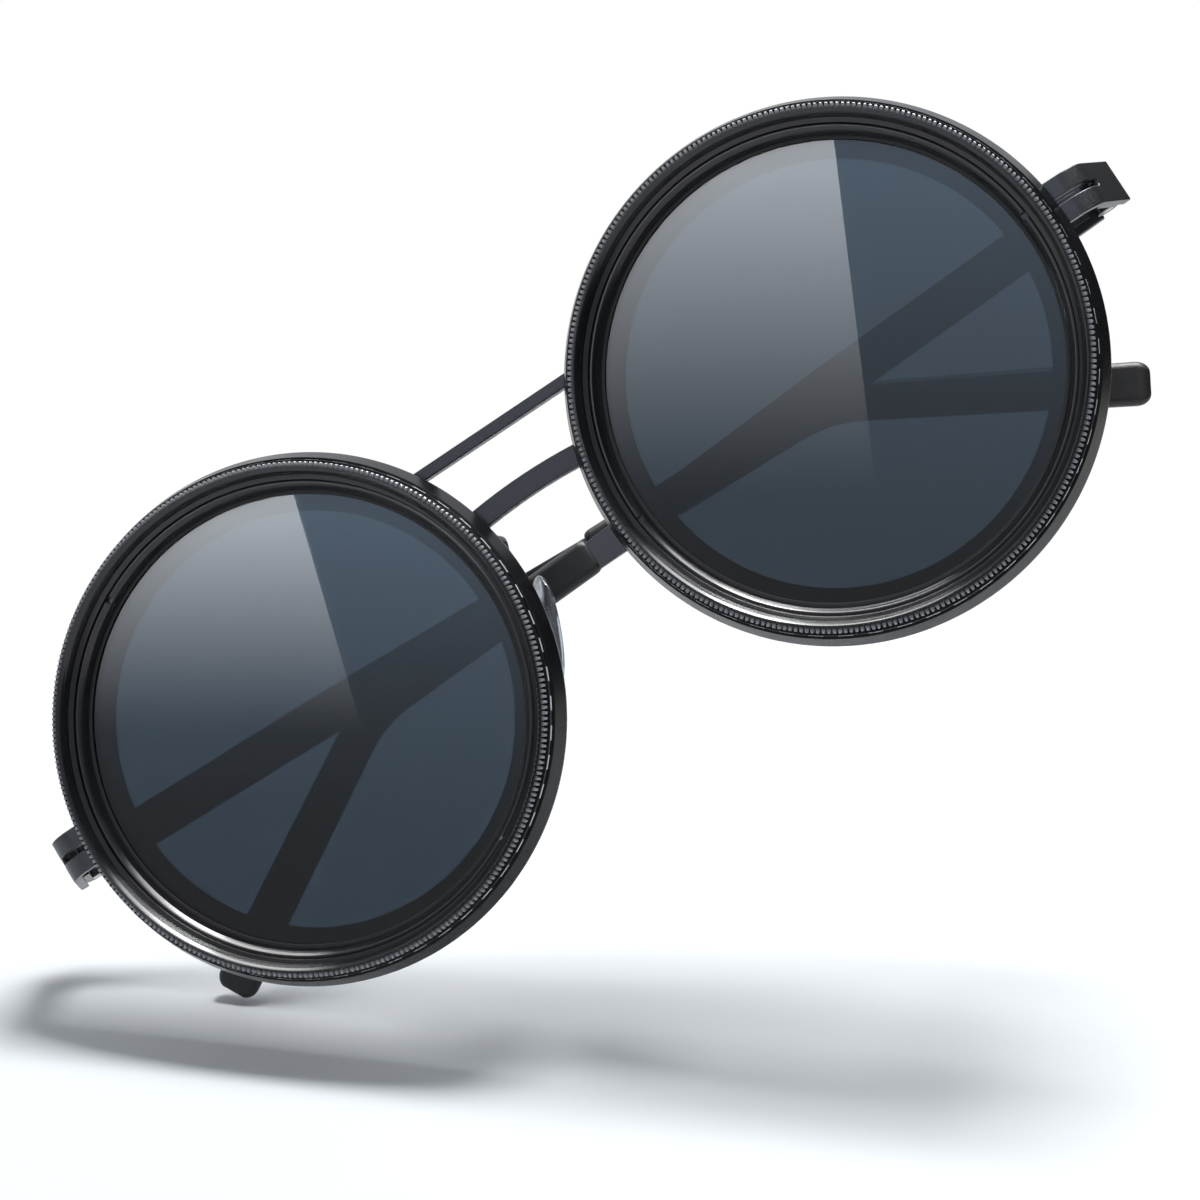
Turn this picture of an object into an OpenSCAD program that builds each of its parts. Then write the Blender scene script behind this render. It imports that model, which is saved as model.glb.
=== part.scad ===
// Round sunglasses with a turning tint ring on each lens, stored folded.
// Each eye holds two polarising discs: the rear one is fixed in the rim, and the
// front one sits in a knurled ring that turns, so the two filters darken together.
//
// Frame, in millimetres: the origin is midway between the lens centres, in the
// plane of the rims' widest rear edge. +X is to the right seen from the front,
// the lens fronts face -Y and +Z is up. Right and left are the viewer's.
// In a ring's own frame the lens axis is +Z, and height above the origin plane
// is distance towards the viewer.

/* [Lens pair] */
// radius of each polarising disc
lens_r = 24.95; // [20:0.05:30]
// thickness of each polarising disc
lens_t = 1; // [0.8:0.05:1.2]
// gap round a disc in its pocket
pocket_gap = 0.05; // [0.03:0.01:0.08]
// width of the edge that each disc rests on
rest_w = 0.85; // [0.6:0.05:1]
// thickness of the webs that the discs rest on
web_t = 0.4; // [0.3:0.05:0.5]
// gap between the two collars across the nose
bridge_gap = 12; // [11:0.5:15]

/* [Tint ring] */
// wall of the turning ring outside its disc's pocket
skirt_wall = 0.96; // [0.85:0.01:1.1]
// gap between the turning ring and the rim, radial and axial
turn_gap = 0.1; // [0.06:0.01:0.1]
// gap between the knurled head and the dash band
head_gap = 0.15; // [0.1:0.01:0.2]
// number of knurl teeth round the head
knurl_teeth = 296; // [120:4:300]
// how far the knurl's tips stay inside the dash band's edge
knurl_inset = 0.25; // [0.15:0.01:0.3]
// height of a knurl tooth from root to tip
knurl_h = 0.55; // [0.4:0.01:0.58]
// length of the knurled band
knurl_len = 0.8; // [0.6:0.05:0.9]
// share of one tooth's pitch that its flat tip takes
knurl_tip_share = 0.4; // [0.3:0.05:0.5]
// share of one tooth's pitch that its root takes
knurl_root_share = 0.1; // [0.05:0.05:0.2]
// how far the smooth front lip stands out of the turning surface
lip_step = 0.14; // [0.08:0.01:0.16]
// flat land on the lip's front edge
lip_land = 0.1; // [0.05:0.01:0.15]
// depth of the threaded wall inside the lip, for a cap or another filter
thread_depth = 0.45; // [0.35:0.01:0.5]
// length of that wall
thread_len = 1.55; // [1.4:0.05:2.1]
// depth of the relief groove behind the threaded wall
relief_depth = 0.2; // [0.15:0.01:0.25]
// length of the relief groove, whose rear side slopes back to the pocket
relief_len = 0.3; // [0.25:0.05:0.4]

/* [Rim] */
// wall of the collar and dash band outside the socket that the tint ring turns in
collar_wall = 0.94; // [0.9:0.01:1.1]
// how far the flange, the widest part of the rim, stands out of the collar
flange_out = 1; // [0.8:0.05:1.4]
// length of the flange's tapering wall
flange_len = 2.3; // [1.8:0.1:2.4]
// how far the flange's radius shrinks towards the dash band
flange_taper = 0.7; // [0.4:0.05:0.75]
// length of the straight land at the flange's widest edge
flange_land = 0.3; // [0.2:0.05:0.4]
// bevel behind that land
flange_bevel = 0.3; // [0.1:0.05:0.3]
// length of the dash band in front of the flange
band_len = 0.8; // [0.7:0.05:0.9]
// depth of the web's front face behind the origin plane
web_depth = 1.15; // [1.1:0.05:1.2]
// distance from the rear retainer to the rim's rear face
rear_inset = 0.1; // [0.05:0.05:0.4]

/* [Index dashes] */
// number of dashes round each rim
dash_count = 56; // [24:4:60]
// arc that one dash covers, in degrees
dash_arc = 3.2; // [1.5:0.1:4]
// width of a dash
dash_w = 0.42; // [0.2:0.02:0.46]
// distance from the flange to the dashes
dash_edge = 0.2; // [0.1:0.02:0.22]
// height that a dash stands out of the band
dash_rise = 0.03; // [0.02:0.01:0.05]
// depth that a dash is let into the band
dash_sink = 0.06; // [0.03:0.01:0.1]
// angle of the middle of the first dash, in degrees
dash_start = 3.2; // [0:0.1:7]

/* [Slip ring] */
// height of the slip ring's middle
slip_z = 0.3; // [0.1:0.05:0.4]
// thickness of the slip ring along the lens axis
slip_t = 0.5; // [0.4:0.05:0.5]
// how far the slip ring reaches into the turning ring's groove
slip_bite = 0.16; // [0.14:0.01:0.2]
// depth of the slip ring's groove in the rim
slip_groove_depth = 0.34; // [0.25:0.01:0.45]
// gap between the slip ring and its seat in the rim
slip_seat_gap = 0.03; // [0.02:0.01:0.04]
// gap between the slip ring and the turning ring's groove
slip_run_gap = 0.1; // [0.06:0.01:0.12]

/* [Retainers] */
// gap round the retainers and the gasket in the discs' pockets
retainer_gap = 0.05; // [0.03:0.01:0.08]
// wall of the front retainer
retainer_wall = 1; // [0.95:0.05:1.1]
// height of the straight wall under the front retainer's bevel
bevel_base = 0.45; // [0.3:0.05:0.6]
// height of the bevel
bevel_h = 1.2; // [0.9:0.05:1.4]
// width of the bevel
bevel_w = 0.67; // [0.5:0.01:0.75]
// distance from the front retainer to the relief groove
retainer_inset = 0.1; // [0.05:0.05:0.3]
// width of a spanner notch
notch_w = 0.7; // [0.5:0.05:0.9]
// depth of a spanner notch
notch_depth = 0.6; // [0.4:0.05:0.8]
// length of a spanner notch from the retainer's edge inwards
notch_len = 0.65; // [0.5:0.05:0.75]
// angle of the left retainer's first spanner notch, in degrees
left_notch_angle = 117; // [0:1:180]
// angle of the right retainer's first spanner notch, in degrees
right_notch_angle = 5; // [0:1:180]
// width of the gasket that shows inside the front retainer
gasket_show = 0.35; // [0.2:0.05:0.5]
// thickness of the gasket
gasket_t = 0.4; // [0.3:0.05:0.4]
// thickness of the rear retainer
rear_retainer_t = 0.5; // [0.4:0.05:0.55]
// wall of the rear retainer, which shows through the discs
rear_retainer_wall = 2.95; // [2:0.05:3.5]

/* [Bars] */
// depth of a bar's front face behind the origin plane
bar_y = 0.7; // [0.5:0.05:0.9]
// thickness of both bars, front to back
bar_t = 1.5; // [1.2:0.1:1.8]
// height of the brow bar's middle
brow_z = 14.9; // [13:0.05:17]
// height of the brow bar's section
brow_h = 1.3; // [1.2:0.05:2]
// height of the bridge bar's middle at the centre
bridge_z = 7.95; // [6.5:0.05:8.2]
// height of the bridge bar's section
bridge_h = 2.3; // [2:0.1:3]
// radius of the bridge bar's slight arch
bridge_arch_r = 60; // [50:1:90]
// depth that a brazed end bites into the collar
braze_bite = 0.12; // [0.06:0.01:0.2]

/* [Endpiece] */
// height of the strip's middle line
endpiece_z = 1.9; // [1.5:0.05:2.2]
// height of the strip
endpiece_h = 4.8; // [4.4:0.1:5]
// thickness of the strip
endpiece_t = 1; // [0.8:0.05:1.1]
// depth of the strip's middle line where it leaves the collar
endpiece_y = 1.1; // [1:0.05:1.3]
// distance from the collar to where the strip's bend starts
bend_out = 2.2; // [1.8:0.05:2.6]
// length of the straight start that reaches into the collar
endpiece_lead = 4; // [3.5:0.1:5]
// radius of the bend on the strip's middle line
bend_r = 2.6; // [2.2:0.1:3]
// angle of the bend, in degrees
bend_angle = 72; // [68:1:74]
// length of the strip behind the bend
endpiece_tail = 8; // [7.5:0.1:9]
// width of the slot between the strip's two legs
slot_w = 0.75; // [0.5:0.05:0.8]
// depth at which the slot ends
slot_end_y = 3.9; // [3.6:0.1:4.5]
// radius of the round end of the slot
slot_end_r = 0.42; // [0.4:0.02:0.5]

/* [Hinge] */
// radius of the hinge barrel
barrel_r = 1.25; // [1.15:0.05:1.3]
// height of the whole barrel
barrel_h = 4.2; // [4:0.1:4.4]
// height of the temple's middle knuckle
knuckle_h = 2; // [1.6:0.1:2.2]
// gap between knuckles, and between a knuckle and what it turns past
knuckle_gap = 0.12; // [0.08:0.01:0.15]
// distance from the strip's inner face to the barrel's axis
barrel_offset = 1.3; // [1.3:0.05:1.4]
// distance from the strip's rear end to the barrel's axis
barrel_setback = 1.1; // [1:0.05:1.3]
// thickness of the hinge's leaf on the endpiece
leaf_t = 0.8; // [0.7:0.05:0.85]
// length of the hinge's leaf on the endpiece
leaf_len = 5; // [4:0.1:5.5]
// radius of the hinge screw
screw_r = 0.6; // [0.5:0.02:0.62]
// gap round the screw in the endpiece's knuckles
screw_hold_gap = 0.03; // [0.02:0.01:0.04]
// gap round the screw in the temple's knuckle
screw_run_gap = 0.06; // [0.03:0.01:0.08]
// radius of the screw's head
screw_head_r = 1.05; // [0.9:0.05:1.1]
// height of the screw's head
screw_head_h = 0.4; // [0.3:0.05:0.5]
// width of the slot in the screw's head
screw_slot_w = 0.3; // [0.2:0.02:0.4]
// depth of the slot in the screw's head
screw_slot_d = 0.2; // [0.1:0.02:0.25]

/* [Temple] */
// thickness of the temple strip
temple_t = 1; // [0.8:0.05:1]
// gap between the barrel's edge and the temple strip's inner face
temple_side_gap = 0.11; // [0.1:0.01:0.15]
// distance from the hinge axis to the strip's front end
strip_near_len = 0.8; // [0.8:0.05:1]
// distance from the hinge axis to where the strip starts to taper
strip_even_len = 34; // [25:1:40]
// distance from the hinge axis to the sleeve's mouth
sleeve_near_len = 65; // [60:0.5:68]
// distance from the hinge axis to the strip's rear end inside the sleeve
strip_far_len = 88; // [85:1:89]
// height of the strip at the hinge
temple_h_front = 4.6; // [4:0.1:4.7]
// height of the strip at the sleeve's mouth
temple_h_mouth = 3.2; // [3:0.1:3.4]
// height of the strip at its rear end
temple_h_end = 2.6; // [2:0.1:2.8]
// downward slope of the right temple, in degrees
right_droop = 2.1; // [1:0.1:3]
// downward slope of the left temple, which is bent down less, in degrees
left_droop = 1.1; // [0.5:0.1:2]
// length of the knuckle's leaf along the temple
temple_leaf_len = 7.5; // [6:0.1:9]
// height of the knuckle's leaf beyond the barrel
temple_leaf_h = 3.2; // [2.8:0.1:3.6]
// distance from the hinge axis to where that leaf gets taller
temple_leaf_step = 1.9; // [1.8:0.1:2.5]
// distance from the hinge axis to that leaf's inner face
temple_leaf_in = 0.45; // [0.4:0.05:0.5]
// fold angle of the right temple at rest, measured from open, in degrees
right_fold = 90; // [88:0.5:90]
// fold angle of the left temple, which lies behind the right one, in degrees
left_fold = 86.5; // [84:0.1:86.6]

/* [Tip sleeve] */
// thickness of the sleeve
sleeve_t = 1.9; // [1.7:0.05:1.9]
// height of the sleeve at its mouth
sleeve_h_mouth = 4; // [3.8:0.1:4.2]
// height of the sleeve at the bend
sleeve_h_bend = 4.2; // [4:0.1:4.4]
// height of the sleeve near the tip
sleeve_h_tip = 4.7; // [4.4:0.1:5]
// how far the sleeve sits above the strip's middle line
sleeve_lift = 0.2; // [0:0.05:0.25]
// radius of the sleeve's long edges
sleeve_edge_r = 0.55; // [0.3:0.05:0.8]
// distance from the hinge axis to the middle of the bend
ear_bend = 94.5; // [92:0.5:97]
// angle that the hook drops behind the bend, in degrees
hook_angle = 28.3; // [24:0.1:34]
// length of the hook from the middle of the bend
hook_len = 34.4; // [31:0.5:36]
// radius of the bend
ear_bend_r = 16; // [12:0.5:20]
// length over which the tip rounds off
tip_round = 1.5; // [1.2:0.1:1.8]
// steps round the sleeve's bend
bend_steps = 10; // [6:1:16]
// steps in each rounded corner of the sleeve's section
corner_steps = 4; // [3:1:6]
// gap between the strip and the sleeve
sleeve_fit_gap = 0.02; // [0.01:0.01:0.04]

/* [Nose pads] */
// distance across from the arm's start on the collar to a pad's centre
pad_reach = 1.6; // [1.5:0.01:1.8]
// depth of a pad's centre behind the origin plane
pad_y = 7.2; // [7:0.1:7.2]
// height of a pad's centre
pad_z = -5.5; // [-6:0.1:-5]
// turn of a pad's face towards the wearer, in degrees
pad_splay = 28; // [20:1:30]
// lean of a pad, lower end outwards, in degrees
pad_lean = 23; // [18:1:26]
// length of a pad
pad_len = 12.6; // [11:0.2:13]
// width of a pad
pad_w = 6.2; // [5.6:0.1:6.4]
// thickness of a pad in the middle
pad_t = 2; // [1.8:0.1:2.2]
// radius of the pad's domed faces
pad_dome_r = 27; // [24:0.5:36]
// thickness of the metal core plate inside a pad
core_t = 0.5; // [0.4:0.05:0.6]
// length of the core plate
core_len = 7; // [6:0.2:8]
// width of the core plate
core_w = 2.6; // [2.2:0.1:3]
// distance from a pad's middle plane to its rocking axis
rock_offset = 1.95; // [1.9:0.05:2.1]
// radius of the core's round lug
lug_r = 0.8; // [0.7:0.05:0.85]
// width of the lug along the rocking axis
lug_w = 1.2; // [1:0.1:1.4]
// gap between the lug and the box round it
lug_gap = 0.12; // [0.1:0.01:0.2]
// thickness of the box's cheeks and back
box_t = 0.45; // [0.4:0.05:0.5]
// height of the box
box_h = 1.7; // [1.5:0.1:1.9]
// distance from a pad's middle plane to the box's open edge
box_mouth = 1.4; // [1.35:0.05:1.5]
// radius of the pad's screw
pad_screw_r = 0.4; // [0.35:0.01:0.42]
// radius of the pad screw's head
pad_screw_head_r = 0.62; // [0.55:0.01:0.7]
// height of the pad screw's head
pad_screw_head_h = 0.3; // [0.2:0.05:0.35]
// radius of the pad arm's wire
arm_r = 0.42; // [0.36:0.02:0.45]
// height at which the pad arm leaves the collar
arm_z = 5.2; // [5:0.05:5.3]
// depth of the pad arm's front end behind the origin plane
arm_front_y = 0.7; // [0.5:0.05:1]
// radius of the pad arm's bend
arm_bend_r = 1.1; // [0.9:0.1:1.3]

/* [Hidden] */
// steps round the curves shown in the preview
$fn = 96;
// steps round a pad's large flat dome
dome_steps = 288;
// how far every cutting shape runs past what it cuts
overrun = 1;

// radii from the discs outwards
pocket_r = lens_r + pocket_gap;
opening_r = lens_r - rest_w;
retainer_r = pocket_r - retainer_gap;
retainer_in_r = retainer_r - retainer_wall;
rear_retainer_in_r = retainer_r - rear_retainer_wall;
gasket_in_r = retainer_in_r - gasket_show;
thread_r = pocket_r + thread_depth;
relief_r = thread_r + relief_depth;
skirt_r = pocket_r + skirt_wall;
lip_r = skirt_r + lip_step;
socket_r = skirt_r + turn_gap;
slip_in_r = skirt_r - slip_bite;
slip_groove_r = socket_r + slip_groove_depth;
ring_groove_r = slip_in_r - slip_run_gap;
collar_r = socket_r + collar_wall;
flange_r = collar_r + flange_out;
flange_front_r = flange_r - flange_taper;
knurl_tip_r = collar_r - knurl_inset;
knurl_root_r = knurl_tip_r - knurl_h;

// distance between the two lens centres
lens_pitch = 2 * collar_r + bridge_gap;

// rim heights
web_rear = -web_depth - web_t;
rear_lens_rear = web_rear - lens_t;
rear_retainer_rear = rear_lens_rear - rear_retainer_t;
rim_rear = rear_retainer_rear - rear_inset;
slip_groove_half = slip_t / 2 + slip_seat_gap;
flange_front = flange_land + flange_len;
band_front = flange_front + band_len;

// heights in the tint ring
ring_rear = turn_gap - web_depth;
front_lens_rear = ring_rear + web_t;
front_lens_front = front_lens_rear + lens_t;
ring_groove_half = slip_t / 2 + slip_run_gap;
head_rear = band_front + head_gap;
retainer_rear = front_lens_front + gasket_t;
bevel_start = retainer_rear + bevel_base;
retainer_front = bevel_start + bevel_h;
relief_rear = retainer_front + retainer_inset;
thread_rear = relief_rear + relief_len;
thread_front = thread_rear + thread_len;
lip_bevel = lip_r - lip_land - thread_r;

// endpiece path on the right side, in plan
bend_start = [lens_pitch / 2 + collar_r + bend_out, endpiece_y];
bend_centre = bend_start + [0, bend_r];
tail_start = bend_centre + bend_r * [sin(bend_angle), -cos(bend_angle)];
tail_dir = [cos(bend_angle), sin(bend_angle)];
tail_out = [sin(bend_angle), -cos(bend_angle)];
tail_end = tail_start + endpiece_tail * tail_dir;
slot_end = tail_start + (slot_end_y - tail_start[1]) / tail_dir[1] * tail_dir;
slot_len = collar_r + bend_out + endpiece_lead;

// hinge axis on the right side, in plan
hinge_axis = tail_end - barrel_setback * tail_dir
    - (endpiece_t / 2 + barrel_offset) * tail_out;

// temple across its thickness, measured outwards from the hinge axis when open
temple_in = barrel_r + temple_side_gap;
temple_mid = temple_in + temple_t / 2;

// sleeve path in the temple's own side view: along the temple, and up
arc_lead = ear_bend_r * tan(hook_angle / 2);
arc_start = [ear_bend - arc_lead, 0];
arc_centre = arc_start - [0, ear_bend_r];
hook_dir = [cos(hook_angle), -sin(hook_angle)];
hook_end = [ear_bend, 0] + hook_len * hook_dir;
hook_near = hook_end - tip_round * hook_dir;

// pad arm on the right side: the wire's side bites into the collar
arm_orbit = collar_r + arm_r - braze_bite;
arm_x = lens_pitch / 2 - sqrt(arm_orbit * arm_orbit - arm_z * arm_z);
pad_centre = [arm_x + pad_reach, pad_y, pad_z];
box_back = rock_offset + lug_r + lug_gap;
box_w = lug_w + 2 * (lug_gap + box_t);
pad_out = [cos(pad_splay) * cos(pad_lean), -sin(pad_splay), cos(pad_splay) * sin(pad_lean)];
arm_goal = pad_centre + (box_back + box_t / 2) * pad_out;
arm_run = [arm_goal[0] - arm_x, arm_goal[2] - arm_z];
arm_turn = atan2(arm_run[1], arm_run[0]);
arm_straight = norm(arm_run) - arm_bend_r;

// colours
rim_black = [0.09, 0.09, 0.1];
ring_black = [0.11, 0.11, 0.12];
steel_black = [0.13, 0.13, 0.14];
lens_tint = [0.25, 0.29, 0.34, 0.6];
dash_white = [0.93, 0.93, 0.93];
sleeve_black = [0.06, 0.06, 0.06];
seal_black = [0.04, 0.04, 0.04];
screw_grey = [0.45, 0.45, 0.47];
pad_clear = [0.2, 0.2, 0.21, 0.8];

// the ring's own frame: side is -1 on the left and 1 on the right
module in_ring(side) {
    translate([side * lens_pitch / 2, 0, 0])
        rotate([90, 0, 0])
            children();
}

// draws a right-hand piece, or its mirror image on the left
module on_side(side) {
    mirror([side < 0 ? 1 : 0, 0, 0])
        children();
}

// a ring turned from its half section
module turned(section) {
    rotate_extrude()
        polygon(section);
}

// a flat round ring between two heights
module washer(out_r, in_r, rear, thick) {
    turned([[in_r, rear], [out_r, rear], [out_r, rear + thick], [in_r, rear + thick]]);
}

// everything inside one collar, less the depth that a brazed end bites
module inside_collar() {
    translate([lens_pitch / 2, 0, 0])
        rotate([90, 0, 0])
            cylinder(r = collar_r - braze_bite, h = flange_r, center = true);
}

// frame of the hinge axis, with +Y along the endpiece's tail and +X outwards
module at_hinge_base() {
    translate([hinge_axis[0], hinge_axis[1], endpiece_z])
        rotate([0, 0, bend_angle - 90])
            children();
}

// frame of the temple: +X outwards and +Y backwards when open, turned by its fold
module at_temple(side) {
    on_side(side)
        translate([hinge_axis[0], hinge_axis[1], endpiece_z])
            rotate([0, 0, side < 0 ? left_fold : right_fold])
                children();
}

// frame of a pad: +X away from the nose, +Y backwards along the width, +Z up
module at_pad(side) {
    on_side(side)
        translate(pad_centre)
            rotate([0, -pad_lean, 0])
                rotate([0, 0, -pad_splay])
                    children();
}

// fixed rim: collar, tapering flange, dash band, socket for the tint ring and lens pocket
module rim(side) {
    color(rim_black)
        in_ring(side)
            turned([
                [pocket_r, rim_rear],
                [collar_r, rim_rear],
                [collar_r, -flange_bevel],
                [flange_r - flange_bevel, -flange_bevel],
                [flange_r, 0],
                [flange_r, flange_land],
                [flange_front_r, flange_front],
                [collar_r, flange_front],
                [collar_r, band_front],
                [socket_r, band_front],
                [socket_r, slip_z + slip_groove_half],
                [slip_groove_r, slip_z + slip_groove_half],
                [slip_groove_r, slip_z - slip_groove_half],
                [socket_r, slip_z - slip_groove_half],
                [socket_r, -web_depth],
                [opening_r, -web_depth],
                [opening_r, web_rear],
                [pocket_r, web_rear]]);
}

// rear polarising disc, fixed in the rim
module rear_lens(side) {
    color(lens_tint)
        in_ring(side)
            translate([0, 0, rear_lens_rear])
                cylinder(r = lens_r, h = lens_t);
}

// flat ring that holds the rear disc in its pocket
module rear_retainer(side) {
    color(ring_black)
        in_ring(side)
            washer(retainer_r, rear_retainer_in_r, rear_retainer_rear, rear_retainer_t);
}

// ring seated in the rim's groove that keeps the tint ring from pulling out
module slip_ring(side) {
    color(screw_grey)
        in_ring(side)
            washer(slip_groove_r - slip_seat_gap, slip_in_r, slip_z - slip_t / 2, slip_t);
}

// white dashes let into the band in front of the flange
module index_dashes(side) {
    color(dash_white)
        in_ring(side)
            for (i = [0 : dash_count - 1])
                rotate([0, 0, dash_start + i * 360 / dash_count - dash_arc / 2])
                    rotate_extrude(angle = dash_arc)
                        translate([collar_r - dash_sink, flange_front + dash_edge])
                            square([dash_sink + dash_rise, dash_w]);
}

// outline of the knurl: one flat-topped tooth for each step round the ring
module knurl_outline() {
    root_half = knurl_root_share / 2;
    tip_half = knurl_tip_share / 2;
    polygon([for (i = [0 : knurl_teeth - 1]) each [
        for (c = [
            [root_half, knurl_root_r],
            [0.5 - tip_half, knurl_tip_r],
            [0.5 + tip_half, knurl_tip_r],
            [1 - root_half, knurl_root_r]])
        let (a = 360 * (i + c[0]) / knurl_teeth)
        c[1] * [cos(a), sin(a)]]]);
}

// knurled head of the tint ring, bored to overlap the ring's smooth body
module knurl_band() {
    translate([0, 0, head_rear])
        difference() {
            linear_extrude(knurl_len)
                knurl_outline();
            translate([0, 0, -overrun])
                cylinder(r = skirt_r, h = knurl_len + 2 * overrun);
        }
}

// turning ring that carries the front disc and is gripped by its knurl
module tint_ring(side) {
    color(ring_black)
        in_ring(side) {
            turned([
                [opening_r, ring_rear],
                [skirt_r, ring_rear],
                [skirt_r, slip_z - ring_groove_half],
                [ring_groove_r, slip_z - ring_groove_half],
                [ring_groove_r, slip_z + ring_groove_half],
                [skirt_r, slip_z + ring_groove_half],
                [skirt_r, head_rear],
                [lip_r, head_rear],
                [lip_r, thread_front + lip_bevel],
                [lip_r - lip_land, thread_front + lip_bevel],
                [thread_r, thread_front],
                [thread_r, thread_rear],
                [relief_r, thread_rear],
                [pocket_r, relief_rear],
                [pocket_r, front_lens_rear],
                [opening_r, front_lens_rear]]);
            knurl_band();
        }
}

// front polarising disc, turning with the tint ring
module front_lens(side) {
    color(lens_tint)
        in_ring(side)
            translate([0, 0, front_lens_rear])
                cylinder(r = lens_r, h = lens_t);
}

// soft ring between the front disc and its retainer
module gasket(side) {
    color(seal_black)
        in_ring(side)
            washer(retainer_r, gasket_in_r, front_lens_front, gasket_t);
}

// threaded ring with a bright inner bevel and two spanner notches
module front_retainer(side) {
    color(ring_black)
        in_ring(side)
            difference() {
                turned([
                    [retainer_in_r, retainer_rear],
                    [retainer_r, retainer_rear],
                    [retainer_r, retainer_front],
                    [retainer_in_r + bevel_w, retainer_front],
                    [retainer_in_r, bevel_start]]);
                for (half_turn = [0, 180])
                    rotate([0, 0, (side < 0 ? left_notch_angle : right_notch_angle) + half_turn])
                        translate([retainer_r - notch_len, -notch_w / 2, retainer_front - notch_depth])
                            cube([notch_len + overrun, notch_w, notch_depth + overrun]);
            }
}

// straight top bar between the rims
module brow_bar() {
    color(steel_black)
        difference() {
            translate([-lens_pitch / 2, bar_y, brow_z - brow_h / 2])
                cube([lens_pitch, bar_t, brow_h]);
            for (side = [-1, 1])
                on_side(side)
                    inside_collar();
        }
}

// slightly arched lower bar between the rims
module bridge_bar() {
    color(steel_black)
        difference() {
            intersection() {
                translate([0, bar_y + bar_t, bridge_z - bridge_arch_r])
                    rotate([90, 0, 0])
                        washer(bridge_arch_r + bridge_h / 2, bridge_arch_r - bridge_h / 2,
                            0, bar_t);
                translate([-lens_pitch / 2, 0, bridge_z - bridge_arch_r])
                    cube([lens_pitch, bar_y + bar_t + overrun, bridge_arch_r + bridge_h]);
            }
            for (side = [-1, 1])
                on_side(side)
                    inside_collar();
        }
}

// slotted metal strip, bent back round the rim's side
module endpiece(side) {
    half = endpiece_t / 2;
    color(steel_black)
        on_side(side)
            difference() {
                translate([0, 0, endpiece_z - endpiece_h / 2])
                    union() {
                        translate([bend_start[0] - endpiece_lead, endpiece_y - half, 0])
                            cube([endpiece_lead, endpiece_t, endpiece_h]);
                        translate([bend_centre[0], bend_centre[1], 0])
                            rotate([0, 0, -90])
                                rotate_extrude(angle = bend_angle)
                                    translate([bend_r - half, 0])
                                        square([endpiece_t, endpiece_h]);
                        translate([tail_start[0], tail_start[1], 0])
                            rotate([0, 0, bend_angle - 90])
                                translate([-half, 0, 0])
                                    cube([endpiece_t, endpiece_tail, endpiece_h]);
                    }
                inside_collar();
                translate([lens_pitch / 2, -overrun, endpiece_z - slot_w / 2])
                    cube([slot_len, slot_end_y + overrun, slot_w]);
                translate([slot_end[0], slot_end[1], endpiece_z])
                    rotate([0, 0, bend_angle - 90])
                        rotate([0, 90, 0])
                            cylinder(r = slot_end_r, h = endpiece_t + overrun, center = true);
            }
}

// leaf on the endpiece's inner face with the two outer knuckles
module hinge_base(side) {
    slot_h = knuckle_h + 2 * knuckle_gap;
    color(steel_black)
        on_side(side)
            at_hinge_base()
                difference() {
                    union() {
                        cylinder(r = barrel_r, h = barrel_h, center = true);
                        translate([barrel_offset - leaf_t, -leaf_len, -barrel_h / 2])
                            cube([leaf_t, leaf_len, barrel_h]);
                    }
                    cylinder(r = screw_r + screw_hold_gap, h = barrel_h + overrun, center = true);
                    cylinder(r = barrel_r + knuckle_gap, h = slot_h, center = true);
                }
}

// screw that the temple turns on
module hinge_screw(side) {
    color(screw_grey)
        on_side(side)
            at_hinge_base()
                difference() {
                    union() {
                        translate([0, 0, -barrel_h / 2])
                            cylinder(r = screw_r, h = barrel_h + screw_head_h);
                        translate([0, 0, barrel_h / 2])
                            cylinder(r = screw_head_r, h = screw_head_h);
                    }
                    translate([-screw_head_r - overrun, -screw_slot_w / 2,
                            barrel_h / 2 + screw_head_h - screw_slot_d])
                        cube([2 * (screw_head_r + overrun), screw_slot_w, screw_slot_d + overrun]);
                }
}

// middle knuckle and the leaf that it holds the temple by
module temple_knuckle(side) {
    leaf_w = temple_in - temple_leaf_in;
    color(steel_black)
        at_temple(side)
            difference() {
                union() {
                    cylinder(r = barrel_r, h = knuckle_h, center = true);
                    translate([temple_leaf_in, 0, -knuckle_h / 2])
                        cube([leaf_w, temple_leaf_step, knuckle_h]);
                    translate([temple_leaf_in, temple_leaf_step, -temple_leaf_h / 2])
                        cube([leaf_w, temple_leaf_len - temple_leaf_step, temple_leaf_h]);
                }
                cylinder(r = screw_r + screw_run_gap, h = knuckle_h + overrun, center = true);
            }
}

// how far each temple slopes
function droop(side) = side < 0 ? left_droop : right_droop;

// turns the temple's side view, drawn as distance back and height, into place
module side_view(side, thick) {
    translate([temple_mid - thick / 2, 0, 0])
        rotate([-droop(side), 0, 0])
            rotate([90, 0, 90])
                linear_extrude(thick)
                    children();
}

// outline of the flat strip, tapering towards the sleeve
module strip_outline(grow) {
    stations = [
        [strip_near_len - grow, temple_h_front],
        [strip_even_len, temple_h_front],
        [sleeve_near_len, temple_h_mouth],
        [strip_far_len + grow, temple_h_end]];
    polygon(concat(
        [for (s = stations) [s[0], -s[1] / 2 - grow]],
        [for (i = [len(stations) - 1 : -1 : 0]) [stations[i][0], stations[i][1] / 2 + grow]]));
}

// flat metal temple strip
module temple(side) {
    color(steel_black)
        at_temple(side)
            side_view(side, temple_t)
                strip_outline(0);
}

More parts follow.
